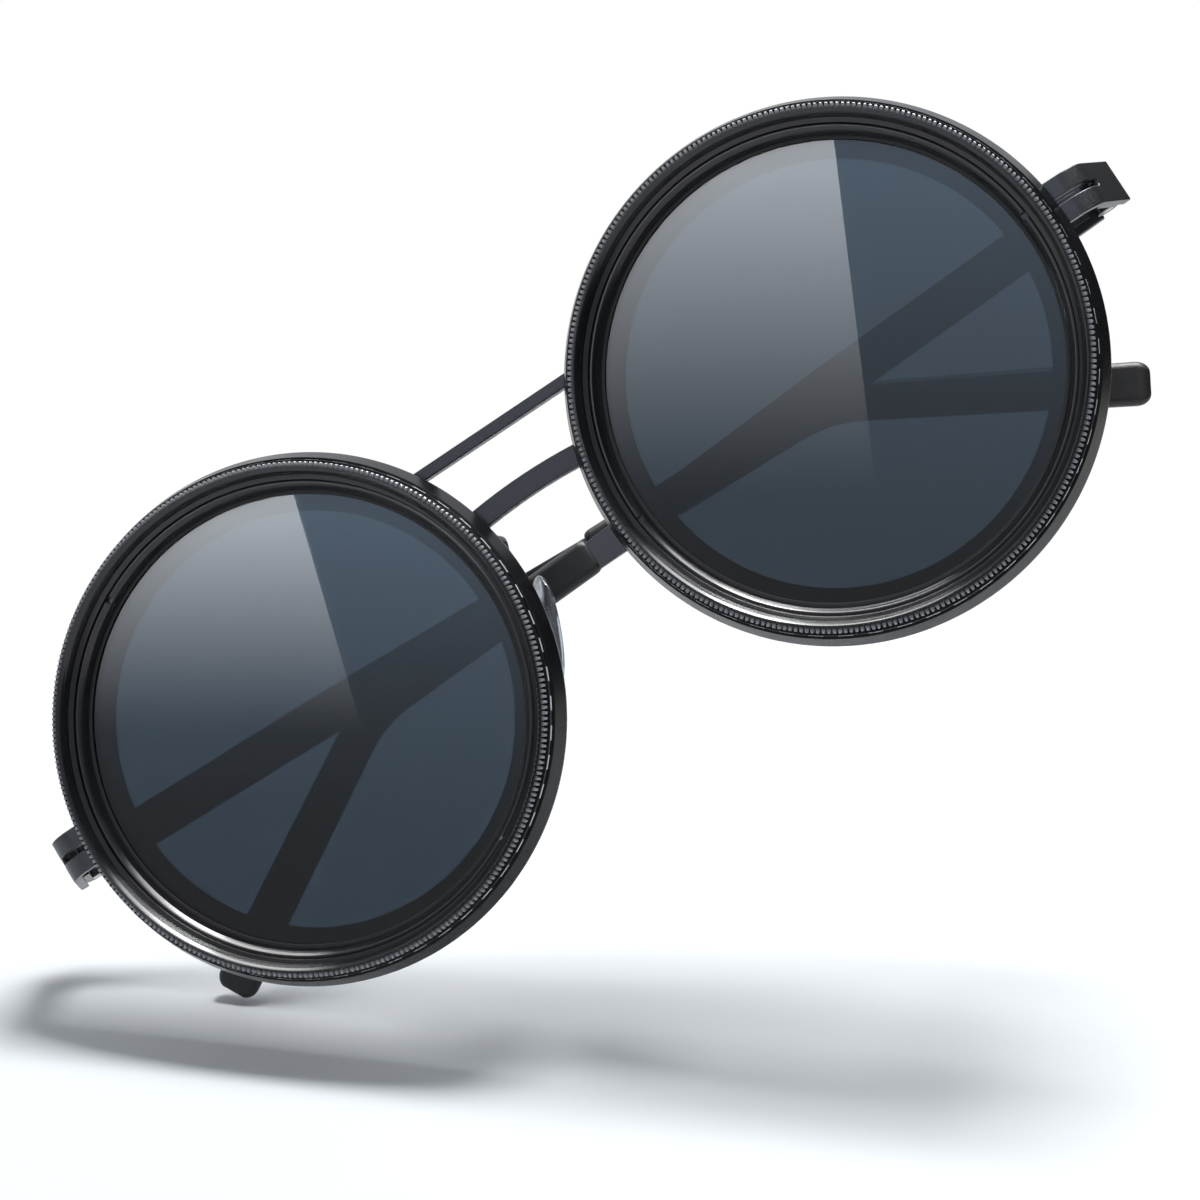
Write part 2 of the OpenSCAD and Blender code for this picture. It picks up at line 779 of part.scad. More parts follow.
// rounded section of the sleeve: across its thickness, and up
function sleeve_section(thick, high) = [
    for (corner = [0 : 3], step = [0 : corner_steps])
        let (
            sx = corner == 0 || corner == 3 ? 1 : -1,
            sz = corner < 2 ? 1 : -1,
            a = 90 * (corner + step / corner_steps))
        [sx * (thick / 2 - sleeve_edge_r) + sleeve_edge_r * cos(a),
            sz * (high / 2 - sleeve_edge_r) + sleeve_edge_r * sin(a)]];

// stations of the sleeve: [along, up], slope, thickness and height
sleeve_stations = concat(
    [[[sleeve_near_len, 0], 0, sleeve_t, sleeve_h_mouth]],
    [for (i = [0 : bend_steps])
        let (a = hook_angle * i / bend_steps)
        [arc_centre + ear_bend_r * [sin(a), cos(a)], a, sleeve_t, sleeve_h_bend]],
    [for (i = [0 : corner_steps])
        let (a = 90 * i / corner_steps, inset = (1 - cos(a)) * sleeve_edge_r)
        [hook_near + tip_round * sin(a) * hook_dir, hook_angle,
            sleeve_t - inset, sleeve_h_tip - 2 * inset]]);

// one station's points in the temple's own frame
function station_ring(s) = [
    for (p = sleeve_section(s[2], s[3]))
        let (up = p[1] + sleeve_lift)
        [temple_mid + p[0], s[0][0] + up * sin(s[1]), s[0][1] + up * cos(s[1])]];

// sleeve over the temple's end, bent down behind the ear
module tip_sleeve(side) {
    rings = [for (s = sleeve_stations) station_ring(s)];
    n = len(rings[0]);
    last = len(rings) - 1;
    color(sleeve_black)
        at_temple(side)
            difference() {
                rotate([-droop(side), 0, 0])
                    polyhedron(
                        points = [for (r = rings) each r],
                        faces = concat(
                            [[for (j = [n - 1 : -1 : 0]) j]],
                            [for (i = [0 : last - 1], j = [0 : n - 1])
                                [i * n + j, i * n + (j + 1) % n,
                                    (i + 1) * n + (j + 1) % n, (i + 1) * n + j]],
                            [[for (j = [0 : n - 1]) last * n + j]]));
                side_view(side, temple_t + 2 * sleeve_fit_gap)
                    strip_outline(sleeve_fit_gap);
            }
}

// flat shape with round ends, long way up
module stadium(long, wide) {
    translate([-wide / 2, -(long - wide) / 2])
        square([wide, long - wide]);
    for (end = [-1, 1])
        translate([0, end * (long - wide) / 2])
            circle(d = wide);
}

// a stadium standing in the pad's middle plane
module pad_slab(long, wide, thick) {
    rotate([90, 0, 90])
        linear_extrude(thick, center = true)
            stadium(long, wide);
}

// metal plate moulded into the pad, with the lug that the screw goes through
module pad_core(side) {
    color(screw_grey)
        at_pad(side)
            difference() {
                union() {
                    pad_slab(core_len, core_w, core_t);
                    translate([rock_offset, 0, 0])
                        rotate([90, 0, 0])
                            cylinder(r = lug_r, h = lug_w, center = true);
                    translate([0, -lug_w / 2, -lug_r])
                        cube([rock_offset, lug_w, 2 * lug_r]);
                }
                translate([rock_offset, 0, 0])
                    rotate([90, 0, 0])
                        cylinder(r = pad_screw_r + screw_run_gap, h = lug_w + overrun, center = true);
            }
}

// ball whose surface is one of a pad's two domed faces: -1 near, 1 away from the nose
module pad_dome(face) {
    translate([face * (pad_t / 2 - pad_dome_r), 0, 0])
        sphere(r = pad_dome_r, $fn = dome_steps);
}

// soft pad, domed on both faces
module nose_pad(side) {
    color(pad_clear)
        at_pad(side)
            difference() {
                intersection() {
                    pad_slab(pad_len, pad_w, pad_t + overrun);
                    pad_dome(-1);
                    pad_dome(1);
                }
                pad_slab(core_len, core_w, core_t);
                translate([0, -lug_w / 2, -lug_r])
                    cube([rock_offset, lug_w, 2 * lug_r]);
            }
}

// wire from the collar to the pad, with a round bend
module arm_wire(side) {
    on_side(side)
        translate([arm_x, 0, arm_z])
            rotate([0, -arm_turn, 0]) {
                translate([0, arm_front_y, 0])
                    rotate([-90, 0, 0])
                        cylinder(r = arm_r, h = arm_goal[1] - arm_bend_r - arm_front_y);
                translate([arm_bend_r, arm_goal[1] - arm_bend_r, 0])
                    rotate([0, 0, 90])
                        rotate_extrude(angle = 90)
                            translate([arm_bend_r, 0])
                                circle(r = arm_r);
                translate([arm_bend_r, arm_goal[1], 0])
                    rotate([0, 90, 0])
                        cylinder(r = arm_r, h = arm_straight);
            }
}

// box round the lug, open towards the pad, and the wire that carries it
module pad_arm(side) {
    cavity_w = lug_w + 2 * lug_gap;
    color(steel_black)
        difference() {
            union() {
                arm_wire(side);
                at_pad(side)
                    translate([box_mouth, -box_w / 2, -box_h / 2])
                        cube([box_back + box_t - box_mouth, box_w, box_h]);
            }
            at_pad(side) {
                translate([box_mouth - overrun, -cavity_w / 2, -box_h / 2 - overrun])
                    cube([box_back - box_mouth + overrun, cavity_w, box_h + 2 * overrun]);
                translate([rock_offset, 0, 0])
                    rotate([90, 0, 0])
                        cylinder(r = pad_screw_r + screw_hold_gap, h = box_w + overrun, center = true);
            }
        }
}

// screw through the box and the lug
module pad_screw(side) {
    color(screw_grey)
        at_pad(side)
            translate([rock_offset, 0, 0])
                rotate([90, 0, 0]) {
                    translate([0, 0, -box_w / 2])
                        cylinder(r = pad_screw_r, h = box_w);
                    translate([0, 0, box_w / 2])
                        cylinder(r = pad_screw_head_r, h = pad_screw_head_h);
                }
}

rim(-1);  // left_rim
rim(1);  // right_rim
rear_lens(-1);  // left_rear_lens
rear_lens(1);  // right_rear_lens
rear_retainer(-1);  // left_rear_retainer
rear_retainer(1);  // right_rear_retainer
slip_ring(-1);  // left_slip_ring
slip_ring(1);  // right_slip_ring
index_dashes(-1);  // left_index_dashes
index_dashes(1);  // right_index_dashes
tint_ring(-1);  // left_tint_ring
tint_ring(1);  // right_tint_ring
front_lens(-1);  // left_front_lens
front_lens(1);  // right_front_lens
gasket(-1);  // left_gasket
gasket(1);  // right_gasket
front_retainer(-1);  // left_front_retainer
front_retainer(1);  // right_front_retainer
brow_bar();
bridge_bar();
endpiece(-1);  // left_endpiece
endpiece(1);  // right_endpiece
hinge_base(-1);  // left_hinge_base
hinge_base(1);  // right_hinge_base
hinge_screw(-1);  // left_hinge_screw
hinge_screw(1);  // right_hinge_screw
temple(-1);  // left_temple
temple(1);  // right_temple
temple_knuckle(-1);  // left_temple_knuckle
temple_knuckle(1);  // right_temple_knuckle
tip_sleeve(-1);  // left_tip_sleeve
tip_sleeve(1);  // right_tip_sleeve
pad_arm(-1);  // left_pad_arm
pad_arm(1);  // right_pad_arm
pad_screw(-1);  // left_pad_screw
pad_screw(1);  // right_pad_screw
pad_core(-1);  // left_pad_core
pad_core(1);  // right_pad_core
nose_pad(-1);  // left_nose_pad
nose_pad(1);  // right_nose_pad
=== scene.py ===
# %% [markdown]
# # Round sunglasses with a turning tint ring
# Each eye of these sunglasses is built like a camera filter: two polarising discs
# lie one behind the other, and the front one sits in a knurled ring that turns.
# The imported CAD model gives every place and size. This lesson keeps its frame and
# adds what a solid model leaves out: rounded edges, knurl, threads and finishes.

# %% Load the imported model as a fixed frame
import math

import bmesh
import bpy
from mathutils import Matrix, Vector


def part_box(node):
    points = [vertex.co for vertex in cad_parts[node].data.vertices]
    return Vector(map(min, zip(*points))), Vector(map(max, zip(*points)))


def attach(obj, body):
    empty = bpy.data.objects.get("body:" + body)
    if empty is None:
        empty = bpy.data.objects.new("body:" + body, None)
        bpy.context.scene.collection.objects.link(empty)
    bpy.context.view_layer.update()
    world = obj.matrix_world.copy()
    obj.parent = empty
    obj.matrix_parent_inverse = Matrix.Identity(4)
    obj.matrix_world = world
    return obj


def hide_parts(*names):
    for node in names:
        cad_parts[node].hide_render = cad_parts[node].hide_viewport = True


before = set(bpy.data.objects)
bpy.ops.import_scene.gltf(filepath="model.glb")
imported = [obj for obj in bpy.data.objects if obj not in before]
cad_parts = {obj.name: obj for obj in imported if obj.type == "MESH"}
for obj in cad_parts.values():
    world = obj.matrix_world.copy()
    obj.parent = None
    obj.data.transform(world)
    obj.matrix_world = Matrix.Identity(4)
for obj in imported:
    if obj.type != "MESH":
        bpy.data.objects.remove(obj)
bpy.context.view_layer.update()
MM = 0.001
SIDES = {"left": -1, "right": 1}

# %% [markdown]
# ## The camera
# The photograph looks at the folded glasses from the front, a little from the right
# and from below, with the camera itself rolled, so the bars climb to the right. The
# three rows below are the camera's right, down and forward directions. They were
# fitted to the outlines of the four round edges and the two bars.

# %% Place the camera
CAMERA_PLACE = Vector((55.414, -331.533, -52.950))
CAMERA_RIGHT = Vector((0.82499305, 0.21104724, -0.52425713))
CAMERA_DOWN = Vector((-0.54113175, 0.02747049, -0.84048902))
CAMERA_AHEAD = Vector((-0.16298129, 0.97708978, 0.13686733))
FOCAL_PX = 3293.46
PHOTO_PX = 1200

camera = bpy.data.objects.new("camera", bpy.data.cameras.new("camera"))
bpy.context.collection.objects.link(camera)
camera.data.sensor_width = 36
camera.data.lens = FOCAL_PX / PHOTO_PX * camera.data.sensor_width
turn = Matrix((CAMERA_RIGHT, -CAMERA_DOWN, -CAMERA_AHEAD)).transposed()
camera.matrix_world = Matrix.Translation(CAMERA_PLACE * MM) @ turn.to_4x4()
bpy.context.scene.camera = camera
print("lens", round(camera.data.lens, 2), "mm")

# %% [markdown]
# ## Three small helpers for materials
# A colour is written as the hex value that a screen shows, and one function turns it
# into the linear value that a shader needs. One function adds any node with its
# settings and links. One function starts a material from its name and plain values.

# %% Colour, node and material helpers
def linear(code):
    values = [int(code[i:i + 2], 16) / 255 for i in (1, 3, 5)]
    return [v / 12.92 if v < 0.04045 else ((v + 0.055) / 1.055) ** 2.4 for v in values] + [1.0]


def add_node(tree, kind, inputs=None, **settings):
    node = tree.nodes.new(kind)
    for name, value in settings.items():
        setattr(node, name, value)
    for key, value in (inputs or {}).items():
        if isinstance(value, bpy.types.NodeSocket):
            tree.links.new(value, node.inputs[key])
        else:
            node.inputs[key].default_value = value
    return node


def new_material(name, colour, **sockets):
    material = bpy.data.materials.new(name)
    material.use_nodes = True
    shader = material.node_tree.nodes["Principled BSDF"]
    shader.inputs["Base Color"].default_value = linear(colour)
    for key, value in sockets.items():
        shader.inputs[key.replace("_", " ")].default_value = value
    return material, material.node_tree, shader


# %% [markdown]
# ## Satin black anodised aluminium
# The rims and the turning rings are turned from aluminium bar and anodised black.
# The dye sits in a clear oxide layer, so the surface acts like a dark glaze over
# fine tool marks and not like bare metal: metallic 0, a soft gloss, and rings of
# tool marks round the lens axis. The real marks are about 0.1 mm apart, under one
# pixel here, so they are drawn 0.3 mm apart to show at all.

# %% Anodised aluminium
LENS_HALF_PITCH = 33.0
TOOL_MARK = 0.3


def ring_radius(tree):
    """distance from the nearer lens axis, in metres, from Object coordinates"""
    place = add_node(tree, "ShaderNodeTexCoord").outputs["Object"]
    split = add_node(tree, "ShaderNodeSeparateXYZ", {0: place})
    side = add_node(tree, "ShaderNodeMath", {0: split.outputs["X"]}, operation="ABSOLUTE")
    across = add_node(tree, "ShaderNodeMath", {0: side.outputs[0], 1: LENS_HALF_PITCH * MM},
                      operation="SUBTRACT")
    flat = add_node(tree, "ShaderNodeCombineXYZ", {0: across.outputs[0], 2: split.outputs["Z"]})
    length = add_node(tree, "ShaderNodeVectorMath", {0: flat.outputs[0]}, operation="LENGTH")
    return place, split, length.outputs["Value"]


def anodised(name, colour, worn, roughness, **sockets):
    material, tree, shader = new_material(name, colour, IOR=1.5, **sockets)
    place, split, radius = ring_radius(tree)
    # tool marks follow the radius on flat faces and the height on round ones
    along = add_node(tree, "ShaderNodeMath", {0: radius, 1: split.outputs["Y"]}, operation="SUBTRACT")
    phase = add_node(tree, "ShaderNodeMath", {0: along.outputs[0], 1: math.tau / (TOOL_MARK * MM)},
                     operation="MULTIPLY")
    marks = add_node(tree, "ShaderNodeMath", {0: phase.outputs[0]}, operation="SINE")
    cloud = add_node(tree, "ShaderNodeTexNoise", {"Vector": place, "Scale": 160.0, "Detail": 3.0})
    tint = add_node(tree, "ShaderNodeMix", {0: cloud.outputs["Fac"], 6: linear(colour), 7: linear(worn)},
                    data_type="RGBA")
    gloss = add_node(tree, "ShaderNodeMapRange", {0: cloud.outputs["Fac"], 1: 0.35, 2: 0.65,
                                                  3: roughness - 0.04, 4: roughness + 0.04})
    bump = add_node(tree, "ShaderNodeBump", {"Strength": 0.25, "Distance": 0.004 * MM,
                                             "Height": marks.outputs[0]})
    tree.links.new(tint.outputs[2], shader.inputs["Base Color"])
    tree.links.new(gloss.outputs[0], shader.inputs["Roughness"])
    tree.links.new(bump.outputs[0], shader.inputs["Normal"])
    return material


rim_aluminium = anodised("satin_black_anodised_aluminium", "#0f1012", "#15161a", 0.27,
                         Specular_IOR_Level=0.15)
ring_aluminium = anodised("turned_black_anodised_aluminium", "#131417", "#1a1b1f", 0.2)
print("tool marks every", TOOL_MARK, "mm")

# %% [markdown]
# ## Knurl crests with a painted highlight
# The crests of the knurl shine where they face the light. That shine is a painted highlight: the colour
# goes from the ring's black dye in the roots to pale grey on the tips, by the distance from the lens axis,
# and noise breaks the painted highlight up.

# %% Knurl with a painted crest highlight
KNURL_ROOT = 26.2
KNURL_TIP = 26.75
# knurl material whose pale crests are a painted highlight, not worn metal
knurl_painted_highlight, tree, shader = new_material("anodised_knurl_painted_highlight", "#1a1b1e", Roughness=0.32)
place, split, radius = ring_radius(tree)
height = add_node(tree, "ShaderNodeMapRange", {
    0: radius, 1: (KNURL_ROOT + 0.05) * MM, 2: (KNURL_TIP - 0.2) * MM})
crest_highlight_noise = add_node(tree, "ShaderNodeTexNoise", {"Vector": place, "Scale": 900.0, "Detail": 2.0})
crest_highlight_spread = add_node(tree, "ShaderNodeMapRange", {0: crest_highlight_noise.outputs["Fac"], 3: 0.6, 4: 1.0})
# mask of the painted highlight: high on the crests, broken up by noise
painted_highlight_mask = add_node(tree, "ShaderNodeMath", {
    0: height.outputs[0], 1: crest_highlight_spread.outputs[0]}, operation="MULTIPLY")
# black dye in the roots, pale painted highlight on the crests
crest = add_node(tree, "ShaderNodeMix", {0: painted_highlight_mask.outputs[0], 6: linear("#131417"), 7: linear("#a9abb0")},
                 data_type="RGBA")
tree.links.new(crest.outputs[2], shader.inputs["Base Color"])

# %% [markdown]
# ## Polarising glass
# A disc is two thin glasses with a dyed film between them, ground flat and parallel.
# It is clear glass with a slate tint, polished, with the usual index of 1.5. Two
# discs together let about a twentieth of the light through.

# %% Polarising glass
polariser, tree, shader = new_material(
    "slate_polarising_glass", "#69757f", Roughness=0.0, IOR=1.5, Transmission_Weight=1.0)
place = add_node(tree, "ShaderNodeTexCoord").outputs["Object"]
film = add_node(tree, "ShaderNodeTexNoise", {"Vector": place, "Scale": 25.0, "Detail": 1.0})
shade = add_node(tree, "ShaderNodeMix", {
    0: film.outputs["Fac"], 6: linear("#66727c"), 7: linear("#6c7882")}, data_type="RGBA")
tree.links.new(shade.outputs[2], shader.inputs["Base Color"])

# %% [markdown]
# ## Lacquered steel strip
# The bars, endpieces, hinges and temples are stamped from steel sheet, brushed along
# their length and lacquered dark. The brush marks are stretched noise: long along
# the strip and 0.15 mm wide across it, coarser than the real 0.03 mm scratches.

# %% Dark brushed steel
def brushed(name, colour, light, roughness, stretch):
    material, tree, shader = new_material(name, colour, Metallic=0.85)
    place = add_node(tree, "ShaderNodeTexCoord").outputs["Object"]
    lanes = add_node(tree, "ShaderNodeMapping", {"Vector": place, "Scale": stretch})
    hair = add_node(tree, "ShaderNodeTexNoise", {"Vector": lanes.outputs[0], "Scale": 1.0, "Detail": 3.0})
    tint = add_node(tree, "ShaderNodeMix", {0: hair.outputs["Fac"], 6: linear(colour), 7: linear(light)},
                    data_type="RGBA")
    gloss = add_node(tree, "ShaderNodeMapRange", {0: hair.outputs["Fac"], 1: 0.3, 2: 0.7,
                                                  3: roughness - 0.05, 4: roughness + 0.06})
    bump = add_node(tree, "ShaderNodeBump", {"Strength": 0.2, "Distance": 0.01 * MM,
                                             "Height": hair.outputs["Fac"]})
    tree.links.new(tint.outputs[2], shader.inputs["Base Color"])
    tree.links.new(gloss.outputs[0], shader.inputs["Roughness"])
    tree.links.new(bump.outputs[0], shader.inputs["Normal"])
    return material


steel_across = brushed("dark_brushed_steel", "#3a3b3e", "#505256", 0.36, (300.0, 6000.0, 6000.0))
bar_steel = brushed("dark_lacquered_steel_bar", "#303134", "#434549", 0.36, (300.0, 6000.0, 6000.0))
steel_upright = brushed("dark_brushed_steel_hinge", "#3a3b3e", "#505256", 0.36, (5000.0, 5000.0, 400.0))
nickel = brushed("nickel_plated_screw", "#8f8f93", "#b4b4b8", 0.24, (3000.0, 3000.0, 3000.0))
bare_steel = brushed("bare_spring_steel", "#77787c", "#9a9b9f", 0.3, (3000.0, 3000.0, 3000.0))

# %% [markdown]
# ## Paint, rubber, soft sleeve and clear pad
# The dashes are filled with white enamel. The gasket is matt black silicone. The
# tip sleeves are black soft-touch rubber with a fine moulded grain, drawn 0.35 mm
# wide. The nose pads are clear silicone that looks smoky over its dark metal core.

# %% Four softer finishes
def grained(name, colour, light, roughness, grain, depth, **sockets):
    material, tree, shader = new_material(name, colour, **sockets)
    place = add_node(tree, "ShaderNodeTexCoord").outputs["Object"]
    noise = add_node(tree, "ShaderNodeTexNoise", {
        "Vector": place, "Scale": 1 / (grain * MM), "Detail": 3.0})
    tint = add_node(tree, "ShaderNodeMix", {0: noise.outputs["Fac"], 6: linear(colour), 7: linear(light)},
                    data_type="RGBA")
    gloss = add_node(tree, "ShaderNodeMapRange", {0: noise.outputs["Fac"], 1: 0.3, 2: 0.7,
                                                  3: roughness - 0.05, 4: roughness + 0.05})
    bump = add_node(tree, "ShaderNodeBump", {"Strength": 0.3, "Distance": depth * MM,
                                             "Height": noise.outputs["Fac"]})
    tree.links.new(tint.outputs[2], shader.inputs["Base Color"])
    tree.links.new(gloss.outputs[0], shader.inputs["Roughness"])
    tree.links.new(bump.outputs[0], shader.inputs["Normal"])
    return material


enamel = grained("white_enamel", "#eceded", "#f4f4f4", 0.35, 0.5, 0.01)
silicone = grained("black_silicone_gasket", "#0c0c0d", "#131315", 0.55, 0.3, 0.02)
soft_touch = grained("black_soft_touch_rubber", "#101011", "#17171a", 0.5, 0.35, 0.03)
pad_clear = grained("smoky_clear_silicone", "#b9bfc6", "#c6ccd2", 0.12, 1.5, 0.01,
                    IOR=1.43, Transmission_Weight=0.9)
print("materials:", len(bpy.data.materials))

# %% [markdown]
# ## Making a mesh with Geometry Nodes
# A tree is grown once and then turned into a plain mesh, because the finished model
# keeps only meshes. The sizes go in by each input's identifier before the object is
# first evaluated. Then doubled points are merged, the faces are turned outwards and
# smooth shading stops at sharp corners. Weighted normals keep the flats flat.

# %% Grow, clean and place
def settle(piece, body, replaced=(), corner=35):
    """clean the mesh, shade it, and give the piece its body"""
    shell = bmesh.new()
    shell.from_mesh(piece.data)
    bmesh.ops.remove_doubles(shell, verts=shell.verts, dist=0.0005 * MM)
    bmesh.ops.recalc_face_normals(shell, faces=shell.faces)
    shell.to_mesh(piece.data)
    shell.free()
    piece.data.shade_smooth()
    piece.data.set_sharp_from_angle(angle=math.radians(corner))
    weighted = piece.modifiers.new("weighted", "WEIGHTED_NORMAL")
    weighted.keep_sharp = True
    bpy.context.view_layer.update()
    graph = bpy.context.evaluated_depsgraph_get()
    plain = bpy.data.meshes.new_from_object(piece.evaluated_get(graph))
    piece.modifiers.clear()
    piece.data = plain
    piece.data.name = piece.name
    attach(piece, body)
    if replaced:
        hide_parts(*replaced)
    print(piece.name, "faces", len(plain.polygons), "on", body)
    return piece


def new_piece(name, vertices, faces, edges=()):
    mesh = bpy.data.meshes.new(name)
    mesh.from_pydata([Vector(v) for v in vertices], edges, faces)
    piece = bpy.data.objects.new(name, mesh)
    bpy.context.collection.objects.link(piece)
    return piece


def grow(piece, tree, sizes):
    """run a Geometry Nodes tree on a piece and keep the result as its mesh"""
    modifier = piece.modifiers.new("grow", "NODES")
    modifier.node_group = tree
    for item in tree.interface.items_tree:
        if item.in_out == "INPUT" and item.name in sizes:
            modifier[item.identifier] = sizes[item.name]
    bpy.context.view_layer.update()
    graph = bpy.context.evaluated_depsgraph_get()
    plain = bpy.data.meshes.new_from_object(piece.evaluated_get(graph))
    piece.modifiers.clear()
    piece.data = plain
    return piece


def new_tree(name, inputs):
    tree = bpy.data.node_groups.new(name, "GeometryNodeTree")
    tree.interface.new_socket("Geometry", in_out="INPUT", socket_type="NodeSocketGeometry")
    for label, kind, value in inputs:
        socket = tree.interface.new_socket(label, in_out="INPUT", socket_type="NodeSocket" + kind)
        if value is not None:
            socket.default_value = value
    tree.interface.new_socket("Geometry", in_out="OUTPUT", socket_type="NodeSocketGeometry")
    return tree, add_node(tree, "NodeGroupInput").outputs


def end_tree(tree, geometry, material):
    whole = add_node(tree, "GeometryNodeRealizeInstances", {"Geometry": geometry})
    painted = add_node(tree, "GeometryNodeSetMaterial", {
        "Geometry": whole.outputs[0], "Material": material})
    add_node(tree, "NodeGroupOutput", {0: painted.outputs[0]})


# %% [markdown]
# ## The turned ring
# Rims, turning rings, retainers, gaskets and slip rings are all turned on a lathe,
# so they share one tree. Its input is half of the ring's section, drawn as a closed
# line of edges. The tree rounds every corner of the section as a lathe hand breaks
# an edge with a file, sweeps it round a circle and moves it to its lens axis.

# %% Tree: turned ring
turned_ring, given = new_tree("turned_ring", [
    ("Ring radius", "Float", 0.025), ("Steps", "Int", 288), ("Edge radius", "Float", 0.00004),
    ("Edge steps", "Int", 2), ("Centre", "Vector", None), ("Material", "Material", None)])
line = add_node(turned_ring, "GeometryNodeMeshToCurve", {0: given["Geometry"]})
broken = add_node(turned_ring, "GeometryNodeFilletCurve", {
    "Curve": line.outputs[0], "Count": given["Edge steps"], "Radius": given["Edge radius"],
    "Limit Radius": True}, mode="POLY")
circle = add_node(turned_ring, "GeometryNodeCurvePrimitiveCircle", {
    "Resolution": given["Steps"], "Radius": given["Ring radius"]})
swept = add_node(turned_ring, "GeometryNodeCurveToMesh", {
    "Curve": circle.outputs["Curve"], "Profile Curve": broken.outputs[0]})
stood = add_node(turned_ring, "GeometryNodeTransform", {
    "Geometry": swept.outputs[0], "Rotation": (math.pi / 2, 0, 0), "Translation": given["Centre"]})
end_tree(turned_ring, stood.outputs[0], given["Material"])


def ring_centre(side):
    return Vector((SIDES[side] * LENS_HALF_PITCH * MM, 0, 0))


def section_piece(name, section, ring_r):
    """a ring's half section as a closed line: [radius, height towards the viewer]"""
    points = [((r - ring_r) * MM, -h * MM, 0) for r, h in section]
    return new_piece(name, points, (), [(i, (i + 1) % len(points)) for i in range(len(points))])


def turn_ring(name, side, section, material, edge=0.05, steps=288):
    ring_r = 25.0
    return grow(section_piece(name, section, ring_r), turned_ring, {
        "Ring radius": ring_r * MM, "Steps": steps, "Edge radius": edge * MM,
        "Edge steps": 2, "Centre": ring_centre(side), "Material": material})


print("turned ring tree:", len(turned_ring.nodes), "nodes")

# %% [markdown]
# ## Rims, with the socket that the turning ring runs in
# The rim is the fixed outer ring: a collar at the back, the wide flange, which tapers
# towards the front, a band in front of it for the dashes, and inside a socket, the
# slip ring's groove and the web that the rear disc rests on.

# %% Rims and what they hold
OPENING, POCKET, SKIRT, SOCKET = 24.1, 25.0, 25.96, 26.06
COLLAR, FLANGE, LIP, THREAD = 27.0, 28.0, 26.1, 25.45
RIM_REAR, WEB_REAR, WEB_FRONT = -3.15, -1.55, -1.15
FLANGE_FRONT, BAND_FRONT = 2.6, 3.4
FLANGE_TAPER, FLANGE_LAND, FLANGE_BEVEL = 0.7, 0.3, 0.3
REAR_HOLDER = 22.0
SLIP_LOW, SLIP_HIGH = 0.02, 0.58
rim_section = [
    (POCKET, RIM_REAR), (COLLAR, RIM_REAR), (COLLAR, -FLANGE_BEVEL), (FLANGE - FLANGE_BEVEL, -FLANGE_BEVEL),
    (FLANGE, 0), (FLANGE, FLANGE_LAND), (FLANGE - FLANGE_TAPER, FLANGE_FRONT), (COLLAR, FLANGE_FRONT),
    (COLLAR, BAND_FRONT),
    (SOCKET, BAND_FRONT), (SOCKET, SLIP_HIGH), (26.4, SLIP_HIGH), (26.4, SLIP_LOW),
    (SOCKET, SLIP_LOW), (SOCKET, WEB_FRONT), (OPENING, WEB_FRONT), (OPENING, WEB_REAR),
    (POCKET, WEB_REAR)]
for side in SIDES:
    rim = turn_ring(side + "_rim_shell", side, rim_section, rim_aluminium, edge=0.08)
    settle(rim, "frame", [side + "_rim"])
    holder = turn_ring(side + "_rear_retainer_ring", side, [
        (REAR_HOLDER, -3.05), (24.95, -3.05), (24.95, -2.55), (REAR_HOLDER, -2.55)], rim_aluminium)
    settle(holder, "frame", [side + "_rear_retainer"])
    slip = turn_ring(side + "_slip_ring_wire", side, [
        (25.8, 0.05), (26.37, 0.05), (26.37, 0.55), (25.8, 0.55)], bare_steel)
    settle(slip, "frame", [side + "_slip_ring"])

# %% [markdown]
# ## One shape repeated round a ring
# Knurl teeth, dashes and spanner notches all repeat at even angles, so one tree
# takes a single shape at angle zero and sets copies of it round the lens axis.

# %% Tree: repeat round
repeat_round, given = new_tree("repeat_round", [
    ("Count", "Int", 2), ("First angle", "Float", 0.0), ("Centre", "Vector", None),
    ("Material", "Material", None)])
places = add_node(repeat_round, "GeometryNodePoints", {
    "Count": given["Count"], "Position": given["Centre"]})
index = add_node(repeat_round, "GeometryNodeInputIndex")
share = add_node(repeat_round, "ShaderNodeMath", {0: math.tau, 1: given["Count"]}, operation="DIVIDE")
angle = add_node(repeat_round, "ShaderNodeMath", {
    0: index.outputs[0], 1: share.outputs[0], 2: given["First angle"]}, operation="MULTIPLY_ADD")
# a turn from +X towards +Z is a negative turn about Y
back = add_node(repeat_round, "ShaderNodeMath", {0: angle.outputs[0], 1: -1.0}, operation="MULTIPLY")
about_y = add_node(repeat_round, "ShaderNodeCombineXYZ", {1: back.outputs[0]})
copies = add_node(repeat_round, "GeometryNodeInstanceOnPoints", {
    "Points": places.outputs[0], "Instance": given["Geometry"], "Rotation": about_y.outputs[0]})
end_tree(repeat_round, copies.outputs[0], given["Material"])


def go_round(piece, side, count, first_angle, material):
    return grow(piece, repeat_round, {
        "Count": count, "First angle": math.radians(first_angle),
        "Centre": ring_centre(side), "Material": material})


# %% [markdown]
# ## The turning ring: skirt, head, lip and thread
# The skirt runs in the socket, with a groove for the slip ring. In front of the rim
# stand the knurled head and a smooth lip. The wall inside the lip has a thread for a
# cap, drawn as three turned grooves 0.45 mm apart instead of the real, finer helix,
# and behind it a groove where the thread tool runs out.

